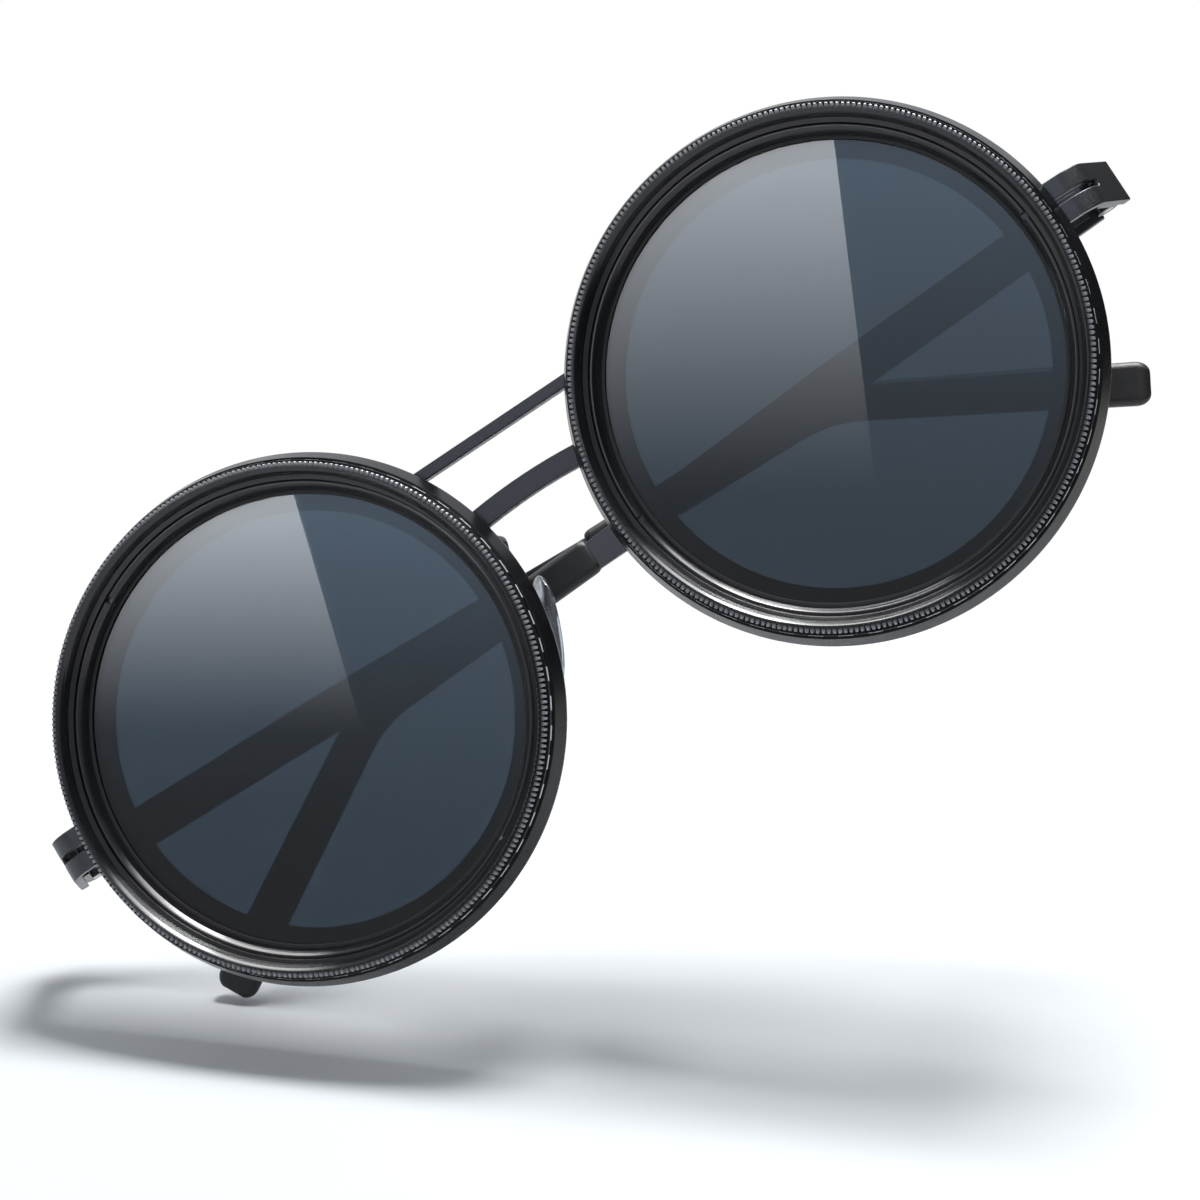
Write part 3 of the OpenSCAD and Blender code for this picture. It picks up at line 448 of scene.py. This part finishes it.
# %% Turning rings
HEAD_REAR, KNURL_FRONT, LIP_FRONT = 3.55, 4.35, 4.9
RING_REAR, LENS_REAR, RELIEF_REAR, THREAD_REAR = -1.05, -0.65, 2.5, 2.8
THREAD_PITCH, THREAD_CUT, THREADS = 0.45, 0.2, 3
RELIEF = 25.65
thread_wall = []
for i in range(THREADS):
    top = KNURL_FRONT - THREAD_PITCH * i
    thread_wall += [(THREAD, top), (THREAD + THREAD_CUT, top - THREAD_PITCH / 2)]
tint_section = [
    (OPENING, RING_REAR), (SKIRT, RING_REAR), (SKIRT, -0.05), (25.7, -0.05), (25.7, 0.65), (SKIRT, 0.65),
    (SKIRT, HEAD_REAR), (KNURL_ROOT, HEAD_REAR), (KNURL_ROOT, KNURL_FRONT), (LIP, KNURL_FRONT),
    (LIP, LIP_FRONT), (LIP - 0.1, LIP_FRONT)] + thread_wall + [
    (THREAD, THREAD_REAR), (RELIEF, THREAD_REAR), (POCKET, RELIEF_REAR), (POCKET, LENS_REAR),
    (OPENING, LENS_REAR)]
for side in SIDES:
    ring = turn_ring(side + "_tint_ring_body", side, tint_section, ring_aluminium, edge=0.04)
    settle(ring, side + "_tint", [side + "_tint_ring"])

# %% [markdown]
# ## Knurl teeth
# A tooth is a tapered block with its front and crest edges cut back, as the knurling
# wheel leaves them. It has only a few faces, because 296 copies stand round each
# ring.

# %% One tooth, then all of them
TEETH = 296
BITE = 0.15


def tooth_mesh(name):
    pitch = math.tau * KNURL_ROOT / TEETH
    root_half, tip_half, ease = 0.45 * pitch, 0.2 * pitch, 0.09
    rows = [  # radius, front height, half width
        (KNURL_ROOT - BITE, KNURL_FRONT, root_half),
        (KNURL_ROOT, KNURL_FRONT, root_half),
        (KNURL_TIP - ease, KNURL_FRONT, tip_half + 0.02),
        (KNURL_TIP, KNURL_FRONT - ease, tip_half)]
    points, faces = [], []
    for r, front, half in rows:
        rear = HEAD_REAR + (KNURL_FRONT - front)
        points += [(r * MM, -front * MM, -half * MM), (r * MM, -front * MM, half * MM),
                   (r * MM, -rear * MM, half * MM), (r * MM, -rear * MM, -half * MM)]
    for k in range(len(rows) - 1):
        for j in range(4):
            faces.append((4 * k + j, 4 * k + (j + 1) % 4, 4 * k + 4 + (j + 1) % 4, 4 * k + 4 + j))
    last = 4 * len(rows) - 4
    return new_piece(name, points, faces + [(3, 2, 1, 0), (last, last + 1, last + 2, last + 3)])


for side in SIDES:
    # the teeth get the knurl material with its painted highlight on the crests
    knurl = go_round(tooth_mesh(side + "_knurl"), side, TEETH, 180 / TEETH, knurl_painted_highlight)
    settle(knurl, side + "_tint")

# %% [markdown]
# ## White dashes on the band
# Fifty-six dashes are let into the band in front of the flange, so that the wearer
# can set both eyes alike. A dash is a short bent bar with rounded corners: its
# outline is bent round the collar point by point, then given its rise.

# %% Dashes
DASHES, DASH_ARC, DASH_FIRST = 56, 3.2, 3.2
DASH_WIDTH, DASH_GAP, DASH_RISE, DASH_SINK = 0.42, 0.2, 0.03, 0.06


def dash_mesh(name):
    half_len = math.radians(DASH_ARC / 2) * COLLAR
    half_w, corner = DASH_WIDTH / 2, 0.1
    middle = FLANGE_FRONT + DASH_GAP + half_w
    outline = []
    for cx, cy, start in ((1, 1, 0), (-1, 1, 90), (-1, -1, 180), (1, -1, 270)):
        for k in range(4):
            a = math.radians(start + 30 * k)
            outline.append((cx * (half_len - corner) + corner * math.cos(a),
                            middle + cy * (half_w - corner) + corner * math.sin(a)))
    points = []
    for r in (COLLAR - DASH_SINK, COLLAR + DASH_RISE):
        points += [(r * math.cos(x / COLLAR) * MM, -y * MM, r * math.sin(x / COLLAR) * MM)
                   for x, y in outline]
    n = len(outline)
    walls = [(i, (i + 1) % n, n + (i + 1) % n, n + i) for i in range(n)]
    return new_piece(name, points, walls + [tuple(range(n - 1, -1, -1)), tuple(range(n, 2 * n))])


for side in SIDES:
    dashes = go_round(dash_mesh(side + "_white_dashes"), side, DASHES, DASH_FIRST, enamel)
    settle(dashes, "frame", [side + "_index_dashes"])

# %% [markdown]
# ## Front retainer with its spanner notches
# A ring with a bevelled inner edge screws down on the gasket and the front disc. The
# bevel is cut in two steps, so that it is slightly full and catches the light. Two
# notches across it take a lens spanner. The tree turns the ring, sets two small
# blocks round it and cuts them out with a Boolean.

# %% Tree: notched ring
RETAINER_IN, RETAINER_OUT = 23.95, 24.95
RETAINER_REAR, BEVEL_START, RETAINER_FRONT, BEVEL_WIDTH = 0.75, 1.2, 2.4, 0.67
CREST_IN, CREST_DOWN = 0.25, 0.45
NOTCH_WIDTH, NOTCH_DEPTH, NOTCH_LENGTH = 0.7, 0.6, 0.65
notched_ring, given = new_tree("notched_ring", [
    ("Ring radius", "Float", 0.025), ("Steps", "Int", 288), ("Edge radius", "Float", 0.00004),
    ("Edge steps", "Int", 2), ("Centre", "Vector", None), ("Material", "Material", None),
    ("Notch size", "Vector", None), ("Notch place", "Vector", None), ("First notch", "Float", 0.0)])
blank = add_node(notched_ring, "GeometryNodeGroup", {}, node_tree=turned_ring)
for label in ("Geometry", "Ring radius", "Steps", "Edge radius", "Edge steps", "Centre", "Material"):
    notched_ring.links.new(given[label], blank.inputs[label])
block = add_node(notched_ring, "GeometryNodeMeshCube", {"Size": given["Notch size"]})
at_edge = add_node(notched_ring, "GeometryNodeTransform", {
    "Geometry": block.outputs[0], "Translation": given["Notch place"]})
pair = add_node(notched_ring, "GeometryNodeGroup", {
    "Geometry": at_edge.outputs[0], "Count": 2, "First angle": given["First notch"],
    "Centre": given["Centre"], "Material": given["Material"]}, node_tree=repeat_round)
cut = add_node(notched_ring, "GeometryNodeMeshBoolean", {
    "Mesh 1": blank.outputs[0], "Mesh 2": pair.outputs[0]}, operation="DIFFERENCE")
end_tree(notched_ring, cut.outputs["Mesh"], given["Material"])

# %% Retainers and gaskets
FIRST_NOTCH = {"left": 117, "right": 5}
for side in SIDES:
    notch_in = RETAINER_OUT - NOTCH_LENGTH
    retainer = section_piece(side + "_front_retainer_ring", [
        (RETAINER_IN, RETAINER_REAR), (RETAINER_OUT, RETAINER_REAR), (RETAINER_OUT, RETAINER_FRONT),
        (RETAINER_IN + BEVEL_WIDTH, RETAINER_FRONT),
        (RETAINER_IN + CREST_IN, RETAINER_FRONT - CREST_DOWN), (RETAINER_IN, BEVEL_START)], 25.0)
    grow(retainer, notched_ring, {
        "Ring radius": 25.0 * MM, "Steps": 288, "Edge radius": 0.04 * MM, "Edge steps": 2,
        "Centre": ring_centre(side), "Material": ring_aluminium,
        "Notch size": Vector((2 * NOTCH_LENGTH, 2 * NOTCH_DEPTH, NOTCH_WIDTH)) * MM,
        "Notch place": Vector((notch_in + NOTCH_LENGTH, -RETAINER_FRONT, 0)) * MM,
        "First notch": math.radians(FIRST_NOTCH[side])})
    settle(retainer, side + "_tint", [side + "_front_retainer"])
    gasket = turn_ring(side + "_gasket_ring", side, [
        (23.6, 0.35), (24.95, 0.35), (24.95, 0.75), (23.6, 0.75)], silicone, edge=0.1)
    settle(gasket, side + "_tint", [side + "_gasket"])

# %% [markdown]
# ## The discs keep their CAD solids
# A flat disc needs no more shape than the CAD gives it, so the four discs stay and
# only get their glass. The metal core plates in the nose pads stay too.

# %% Materials on kept nodes
for side in SIDES:
    for node, finish in (("_front_lens", polariser), ("_rear_lens", polariser), ("_pad_core", nickel)):
        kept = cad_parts[side + node]
        kept.data.materials.clear()
        kept.data.materials.append(finish)

# %% [markdown]
# ## Stamped and milled metal parts
# The bars, endpieces, hinges, temples and pad arms have their final form in the CAD,
# but a real stamped edge is never knife sharp. Each is copied, its loose triangles
# are merged into clean faces, and a small bevel breaks the edges so they catch light.

# %% Bevelled copies
def broken_edges(node, new_name, material, body, width=0.1):
    shell = bmesh.new()
    shell.from_mesh(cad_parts[node].data)
    bmesh.ops.remove_doubles(shell, verts=shell.verts, dist=0.001 * MM)
    bmesh.ops.dissolve_limit(shell, angle_limit=math.radians(0.5), verts=shell.verts, edges=shell.edges)
    mesh = bpy.data.meshes.new(new_name)
    shell.to_mesh(mesh)
    shell.free()
    piece = bpy.data.objects.new(new_name, mesh)
    bpy.context.collection.objects.link(piece)
    mesh.materials.append(material)
    bevel = piece.modifiers.new("edge", "BEVEL")
    bevel.width = width * MM
    bevel.segments = 2
    bevel.limit_method = "ANGLE"
    bevel.angle_limit = math.radians(40)
    bpy.context.view_layer.update()
    graph = bpy.context.evaluated_depsgraph_get()
    rounded = bpy.data.meshes.new_from_object(piece.evaluated_get(graph))
    piece.modifiers.clear()
    piece.data = rounded
    return settle(piece, body, [node], corner=50)


broken_edges("brow_bar", "brow_bar_strip", bar_steel, "frame", 0.15)
broken_edges("bridge_bar", "bridge_bar_strip", bar_steel, "frame", 0.15)
for side in SIDES:
    arm = side + "_arm"
    broken_edges(side + "_endpiece", side + "_endpiece_strip", steel_across, "frame", 0.12)
    broken_edges(side + "_hinge_base", side + "_hinge_leaf", steel_upright, "frame", 0.06)
    broken_edges(side + "_pad_arm", side + "_pad_arm_wire", bar_steel, "frame", 0.05)
    broken_edges(side + "_temple", side + "_temple_strip", steel_across, arm, 0.15)
    broken_edges(side + "_temple_knuckle", side + "_temple_hinge_leaf", steel_upright, arm,
                 0.06)

# %% [markdown]
# ## Slotted screws
# Four screws hold the joints: one upright in each hinge and one across each nose pad
# box. One tree turns the screw from its half section and cuts the slot in its head,
# so only the sizes and the place differ.

# %% Tree: slotted screw
slotted_screw, given = new_tree("slotted_screw", [
    ("Steps", "Int", 32), ("Slot size", "Vector", None), ("Slot place", "Vector", None),
    ("Material", "Material", None)])
line = add_node(slotted_screw, "GeometryNodeMeshToCurve", {0: given["Geometry"]})
around = add_node(slotted_screw, "GeometryNodeCurvePrimitiveCircle", {
    "Resolution": given["Steps"], "Radius": 0.001})
body = add_node(slotted_screw, "GeometryNodeCurveToMesh", {
    "Curve": around.outputs["Curve"], "Profile Curve": line.outputs[0]})
closed = add_node(slotted_screw, "GeometryNodeMergeByDistance", {
    "Geometry": body.outputs[0], "Distance": 0.000002})
saw = add_node(slotted_screw, "GeometryNodeMeshCube", {"Size": given["Slot size"]})
saw_up = add_node(slotted_screw, "GeometryNodeTransform", {
    "Geometry": saw.outputs[0], "Translation": given["Slot place"]})
slotted = add_node(slotted_screw, "GeometryNodeMeshBoolean", {
    "Mesh 1": closed.outputs[0], "Mesh 2": saw_up.outputs[0]}, operation="DIFFERENCE")
end_tree(slotted_screw, slotted.outputs["Mesh"], given["Material"])

# %% Frames of the hinge and the pad
HINGE_AXIS = Vector((65.09306, 10.01508, 1.9))
BEND_ANGLE = 72.0
PAD_CENTRE = Vector((7.79981, 7.2, -5.5))
PAD_LEAN, PAD_SPLAY = 23.0, 28.0
ROCK_OFFSET = 1.95
FOLD = {"left": 86.5, "right": 90.0}
DROOP = {"left": 1.1, "right": 2.1}


def sided(side, matrix):
    """the matrix as it is on the right, or mirrored on the left"""
    return matrix if side == "right" else Matrix.Diagonal((-1, 1, 1, 1)) @ matrix


def hinge_frame(side):
    return sided(side, Matrix.Translation(HINGE_AXIS * MM)
                 @ Matrix.Rotation(math.radians(BEND_ANGLE - 90), 4, "Z"))


def pad_frame(side):
    return sided(side, Matrix.Translation(PAD_CENTRE * MM)
                 @ Matrix.Rotation(math.radians(-PAD_LEAN), 4, "Y")
                 @ Matrix.Rotation(math.radians(-PAD_SPLAY), 4, "Z"))


low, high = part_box("right_pad_core")
print("pad frame", [round(v / MM, 2) for v in pad_frame("right").translation],
      "in its core's box", [round(v / MM, 2) for v in (*low, *high)])

# %% [markdown]
# ## Tip sleeves
# A soft sleeve is drawn over the end of each temple and bends down behind the ear.
# It is lofted from rounded sections along the bend: rolled in at the mouth, fuller
# towards the tip, and rounded off at the end. It sits a little high on the strip.

# %% Sleeve stations
TEMPLE_MID = 1.86
SLEEVE_MOUTH, EAR_BEND, EAR_BEND_R = 65.0, 94.5, 16.0
HOOK_ANGLE, HOOK_LEN, TIP_ROUND = 28.3, 34.4, 1.5
SLEEVE_T, SLEEVE_EDGE, SLEEVE_LIFT = 1.9, 0.8, 0.2
MOUTH_H, BEND_H, TIP_H = 4.0, 4.2, 4.7
MOUTH_ROLL, MOUTH_IN = 0.9, 0.35


def sleeve_rings():
    """sections along the sleeve: distance back, height, slope, inset and height of the section"""
    hook = math.radians(HOOK_ANGLE)
    lead = EAR_BEND_R * math.tan(hook / 2)
    start_x = EAR_BEND - lead
    rings = []
    for k in range(7):
        a = math.radians(15 * k)
        rings.append((SLEEVE_MOUTH + MOUTH_ROLL * (1 - math.cos(a)), 0, 0,
                      MOUTH_IN * (1 - math.sin(a)), MOUTH_H))
    body = start_x - SLEEVE_MOUTH - MOUTH_ROLL
    for k in range(1, 9):
        f = k / 8
        rings.append((SLEEVE_MOUTH + MOUTH_ROLL + body * f, 0, 0, 0, MOUTH_H + (BEND_H - MOUTH_H) * f))
    for k in range(1, 17):
        a = hook * k / 16
        rings.append((start_x + EAR_BEND_R * math.sin(a), EAR_BEND_R * (math.cos(a) - 1), a, 0, BEND_H))
    end_x = EAR_BEND + HOOK_LEN * math.cos(hook)
    end_z = -HOOK_LEN * math.sin(hook)
    straight = HOOK_LEN - lead - TIP_ROUND
    for k in range(1, 13):
        left = TIP_ROUND + straight * (1 - k / 12)
        rings.append((end_x - left * math.cos(hook), end_z + left * math.sin(hook), hook, 0,
                      BEND_H + (TIP_H - BEND_H) * k / 12))
    for k in range(1, 7):
        a = math.radians(15 * k)
        left = TIP_ROUND * (1 - math.sin(a))
        rings.append((end_x - left * math.cos(hook), end_z + left * math.sin(hook), hook,
                      0.94 * (1 - math.cos(a)), TIP_H))
    return rings


def sleeve_mesh(name):
    corner_steps = 6
    points, faces = [], []
    rings = sleeve_rings()
    for along, up, slope, inset, high in rings:
        half_t, half_h = SLEEVE_T / 2 - inset, high / 2 - 1.3 * inset
        edge = min(SLEEVE_EDGE, half_t)
        for corner, (sx, sz) in enumerate(((1, 1), (-1, 1), (-1, -1), (1, -1))):
            for k in range(corner_steps + 1):
                a = math.radians(90 * (corner + k / corner_steps))
                across = sx * (half_t - edge) + edge * math.cos(a)
                high_up = sz * (half_h - edge) + edge * math.sin(a) + SLEEVE_LIFT
                points.append(Vector((TEMPLE_MID + across, along + high_up * math.sin(slope),
                                      up + high_up * math.cos(slope))) * MM)
    n = len(points) // len(rings)
    for i in range(len(rings) - 1):
        for j in range(n):
            faces.append((i * n + j, i * n + (j + 1) % n, (i + 1) * n + (j + 1) % n, (i + 1) * n + j))
    last = (len(rings) - 1) * n
    return new_piece(name, points, faces + [tuple(range(n - 1, -1, -1)), tuple(range(last, last + n))])


def temple_frame(side):
    place = Matrix.Translation(HINGE_AXIS * MM) @ Matrix.Rotation(math.radians(FOLD[side]), 4, "Z") \
        @ Matrix.Rotation(math.radians(-DROOP[side]), 4, "X")
    return sided(side, place)


for side in SIDES:
    sleeve = sleeve_mesh(side + "_soft_sleeve")
    sleeve.data.transform(temple_frame(side))
    sleeve.data.materials.append(soft_touch)
    settle(sleeve, side + "_arm", [side + "_tip_sleeve"], corner=60)

# %% [markdown]
# ## Nose pads
# A pad is moulded soft and clear round a metal plate. Its outline is a stadium, both
# faces are domed, and the rim between them is round. The mesh is a set of outlines,
# each a little smaller, that climb from the rim over the dome to its middle.

# %% Pad mesh
PAD_LEN, PAD_W, PAD_T, PAD_DOME, PAD_RIM = 12.6, 6.2, 2.0, 27.0, 0.55


def pad_mesh(name):
    points, faces, outline = [], [], []
    half_w, half_straight, arc, run = PAD_W / 2, (PAD_LEN - PAD_W) / 2, 24, 16
    for end in (1, -1):
        for k in range(arc + 1):
            a = math.pi * (k / arc + (0 if end > 0 else 1))
            outline.append((math.cos(a), math.sin(a), end * half_straight))
        for k in range(1, run):
            outline.append((-end, 0, end * half_straight * (1 - 2 * k / run)))
    count = len(outline)
    sizes = [1.0, 0.99, 0.975, 0.95, 0.92, 0.88, 0.82, 0.7, 0.5, 0.25, 0.0]
    levels = [(s, -1) for s in reversed(sizes[1:])] + [(s, 1) for s in sizes]
    for s, face in levels:
        inset = (1 - s) * half_w
        rim = math.sqrt(1 - (1 - min(inset / PAD_RIM, 1)) ** 2)
        for out, up, middle in outline:
            y, z = half_w * s * out, middle + half_w * s * up
            dome = PAD_T / 2 - PAD_DOME + math.sqrt(PAD_DOME ** 2 - y * y - z * z)
            points.append(Vector((face * dome * rim, y, z)) * MM)
    for i in range(len(levels) - 1):
        for j in range(count):
            faces.append((i * count + j, i * count + (j + 1) % count,
                          (i + 1) * count + (j + 1) % count, (i + 1) * count + j))
    return new_piece(name, points, faces)


for side in SIDES:
    pad = pad_mesh(side + "_clear_pad")
    pad.data.transform(pad_frame(side))
    pad.data.materials.append(pad_clear)
    settle(pad, side + "_pad", [side + "_nose_pad"], corner=60)

# %% Screws
def screw(name, place, shank, length, head, head_h, slot_w, slot_d, replaced):
    """a screw along its own Z, its head up, sizes in mm, then moved to its place"""
    ring_r = 1.0
    low, top, ease = -length / 2, length / 2 + head_h, 0.12
    outline = [(0, low), (shank, low), (shank, length / 2), (head, length / 2), (head, top - ease),
               (head - ease, top - 0.03), (head / 2, top), (0, top)]
    half = new_piece(name, [((r - ring_r) * MM, -z * MM, 0) for r, z in outline], (),
                     [(i, i + 1) for i in range(len(outline) - 1)])
    grow(half, slotted_screw, {
        "Slot size": Vector((4 * head, slot_w, 2 * slot_d)) * MM,
        "Slot place": Vector((0, 0, top)) * MM, "Material": nickel})
    half.data.transform(place)
    return settle(half, "frame", [replaced])


BOX_WIDTH = 2.34
for side in SIDES:
    screw(side + "_hinge_slotted_screw", hinge_frame(side), shank=0.6, length=4.2, head=1.05, head_h=0.4,
          slot_w=0.3, slot_d=0.2, replaced=side + "_hinge_screw")
    pad_axis = pad_frame(side) @ Matrix.Translation((ROCK_OFFSET * MM, 0, 0)) \
        @ Matrix.Rotation(math.pi / 2, 4, "X")
    screw(side + "_pad_slotted_screw", pad_axis, shank=0.4, length=BOX_WIDTH, head=0.62, head_h=0.3,
          slot_w=0.18, slot_d=0.12, replaced=side + "_pad_screw")

# %% [markdown]
# ## The table
# The glasses stand in the photograph on a white table that rises to the left and
# behind. Its plane just touches the lowest point of the object. Its back is made
# clear, so that it never hides the object from below.

# %% Table
def shown_ray(tree):
    """1 for what the camera, a mirror or glass shows, and 0 for light on matt faces"""
    path = add_node(tree, "ShaderNodeLightPath")
    mirrored = add_node(tree, "ShaderNodeMath", {
        0: path.outputs["Is Camera Ray"], 1: path.outputs["Is Glossy Ray"]}, operation="MAXIMUM")
    shown = add_node(tree, "ShaderNodeMath", {
        0: mirrored.outputs[0], 1: path.outputs["Is Transmission Ray"]}, operation="MAXIMUM")
    return path, shown.outputs[0]


TABLE_UP = Vector((0.565, -0.359, 0.743)).normalized()
TABLE_REACH = 3.0
TABLE_GAP = 0.2 * MM
FADE_START, FADE_END = 0.1, 0.2
lowest = min(TABLE_UP.dot(v.co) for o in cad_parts.values() for v in o.data.vertices)
along = TABLE_UP.cross(Vector((0, 1, 0))).normalized()
away = TABLE_UP.cross(along).normalized()
foot = TABLE_UP * (lowest - TABLE_GAP)
table = new_piece("table", [foot + TABLE_REACH * (a * along + b * away)
                            for a, b in ((-1, -1), (1, -1), (1, 1), (-1, 1))], [(0, 1, 2, 3)])
table_white, tree, shader = new_material("white_table", "#f2f5f8", Roughness=0.6, Specular_IOR_Level=0.0)
if table.data.polygons[0].normal.dot(TABLE_UP) < 0:
    table.data.flip_normals()
# far from the object the table is simply white to the camera, in metal and through glass
place = add_node(tree, "ShaderNodeTexCoord").outputs["Object"]
off = add_node(tree, "ShaderNodeVectorMath", {0: place}, operation="LENGTH")
far = add_node(tree, "ShaderNodeMapRange", {0: off.outputs["Value"], 1: FADE_START, 2: FADE_END},
               interpolation_type="SMOOTHSTEP")
path, shown = shown_ray(tree)
share = add_node(tree, "ShaderNodeMath", {0: shown, 1: far.outputs[0]}, operation="MULTIPLY")
white = add_node(tree, "ShaderNodeEmission", {"Color": linear("#ffffff"), "Strength": 1.0})
fading = add_node(tree, "ShaderNodeMixShader", {
    0: share.outputs[0], 1: shader.outputs[0], 2: white.outputs[0]})
facing = add_node(tree, "ShaderNodeNewGeometry")
clear = add_node(tree, "ShaderNodeBsdfTransparent")
one_sided = add_node(tree, "ShaderNodeMixShader", {
    0: facing.outputs["Backfacing"], 1: fading.outputs[0], 2: clear.outputs[0]})
tree.links.new(one_sided.outputs[0], tree.nodes["Material Output"].inputs["Surface"])
table.data.materials.append(table_white)
print("table", round(-lowest / MM, 1), "mm under the origin along its own up")

# %% [markdown]
# ## Light
# A pale room gives the soft light all round. A soft lamp above on the right casts the
# shadow, and a long soft box beside it draws the bright arcs on the bevels. Two soft
# cards in front are seen mirrored in the discs: each ends in the slanting edge that the
# photograph shows across a disc and fades downwards. A dark cloth on the right keeps
# that side of the rings black.

# %% World
ROOM_ON_MATT = 0.6
ROOM_IN_FRONT = 0.45
FRONT_Y, REAR_Y = -0.6, 0.5
world = bpy.data.worlds.new("pale_room")
bpy.context.scene.world = world
world.use_nodes = True
tree = world.node_tree
sky = tree.nodes["Background"]
look = add_node(tree, "ShaderNodeTexCoord")
split = add_node(tree, "ShaderNodeSeparateXYZ", {0: look.outputs["Generated"]})
depth = add_node(tree, "ShaderNodeMapRange", {
    0: split.outputs["Y"], 1: FRONT_Y, 2: REAR_Y, 3: ROOM_IN_FRONT, 4: 1.0})
# what mirrors and glass show of the room stays pale; its light on matt faces is a little less
path, shown = shown_ray(tree)
share = add_node(tree, "ShaderNodeMapRange", {0: shown, 3: ROOM_ON_MATT, 4: 1.0})
level = add_node(tree, "ShaderNodeMath", {0: depth.outputs[0], 1: share.outputs[0]}, operation="MULTIPLY")
sky.inputs["Color"].default_value = linear("#f4f8fd")
# the camera itself sees plain white behind the glasses from every side
backdrop = add_node(tree, "ShaderNodeMath", {0: level.outputs[0], 1: path.outputs["Is Camera Ray"]},
                    operation="MAXIMUM")
tree.links.new(backdrop.outputs[0], sky.inputs["Strength"])


# %% Lamps
def soft_lamp(name, place, aim, width, height, radiance):
    data = bpy.data.lights.new(name, "AREA")
    data.shape = "RECTANGLE"
    data.size, data.size_y = width * MM, height * MM
    data.energy = radiance * math.pi * data.size * data.size_y
    lamp = bpy.data.objects.new(name, data)
    bpy.context.collection.objects.link(lamp)
    direction = (Vector(aim) - Vector(place)).normalized()
    lamp.matrix_world = Matrix.Translation(Vector(place) * MM) \
        @ direction.to_track_quat("-Z", "Y").to_matrix().to_4x4()
    lamp.visible_camera = False
    return lamp


MIDDLE = (0, 0, 0)
soft_lamp("key_lamp", (330, -60, 360), MIDDLE, width=150, height=150, radiance=38)
# a wide soft box overhead is seen only in the bevels, where it draws the long arcs
arc_box = soft_lamp("arc_box", (205, -15, 285), MIDDLE, width=240, height=430, radiance=13)
arc_box.visible_diffuse = False
arc_box.visible_transmission = False

# %% Cards that the discs mirror
CARD_Y = -300.0
# the upward slope of the photograph, along which the glow in the discs grows
CLIMB = (0.54, 0.0, 0.84)


def card(name, corners, dark, bright, top, power=1.45, colour="#fbf8f6", y=CARD_Y):
    """a clear card, corners (x, z) in mm, whose glow climbs from dark to bright along CLIMB"""
    piece = new_piece(name, [(x * MM, y * MM, z * MM) for x, z in corners],
                      [tuple(range(len(corners)))])
    material, tree, shader = new_material(name + "_glow", "#000000")
    place = add_node(tree, "ShaderNodeTexCoord").outputs["Object"]
    climb = add_node(tree, "ShaderNodeVectorMath", {0: place, 1: CLIMB}, operation="DOT_PRODUCT")
    part = add_node(tree, "ShaderNodeMapRange", {0: climb.outputs["Value"], 1: dark * MM, 2: bright * MM})
    fade = add_node(tree, "ShaderNodeMath", {0: part.outputs[0], 1: power}, operation="POWER")
    level = add_node(tree, "ShaderNodeMath", {0: fade.outputs[0], 1: top}, operation="MULTIPLY")
    glow = add_node(tree, "ShaderNodeEmission", {"Color": linear(colour), "Strength": level.outputs[0]})
    clear = add_node(tree, "ShaderNodeBsdfTransparent")
    both = add_node(tree, "ShaderNodeAddShader", {0: glow.outputs[0], 1: clear.outputs[0]})
    tree.links.new(both.outputs[0], tree.nodes["Material Output"].inputs["Surface"])
    piece.data.materials.append(material)
    piece.visible_camera = False
    piece.visible_diffuse = False


card("left_card", [(-86.1, 106), (-114.2, 4), (-190, 4), (-190, 106)], dark=-24, bright=19, top=6.5)
card("right_card", [(46.8, 106), (-1.9, 4.5), (-60, 4.5), (-60, 106)], dark=22, bright=86, top=6.0,
     power=1.6)
# the faint bluish veils lie over the whole of each disc, in a plane just behind the cards
VEIL = {"colour": "#c4e1ff", "y": CARD_Y - 4.0}
card("left_veil", [(-64, 108), (-64, -4), (-195, -4), (-195, 108)], dark=-60, bright=19, top=1.7,
     power=2.2, **VEIL)
card("right_veil", [(92, 108), (92, -4), (-62, -4), (-62, 108)], dark=5, bright=86, top=1.5,
     power=1.4, **VEIL)

# %% Dark side of the room
FLAG_X = 200
FLAG_CORNERS = ((-100, -500), (600, -500), (600, 80), (-100, 80))
flag = new_piece("dark_flag", [(FLAG_X * MM, y * MM, z * MM) for y, z in FLAG_CORNERS], [(0, 1, 2, 3)])
flag.data.materials.append(new_material("black_cloth", "#020202", Roughness=1.0)[0])
flag.visible_camera = False
flag.visible_diffuse = False
flag.visible_transmission = False
flag.visible_shadow = False

# %% [markdown]
# ## Colour and the end
# The view transform stays Standard, so a colour is shown as it was written.

# %% Finish
bpy.context.scene.view_settings.view_transform = "Standard"
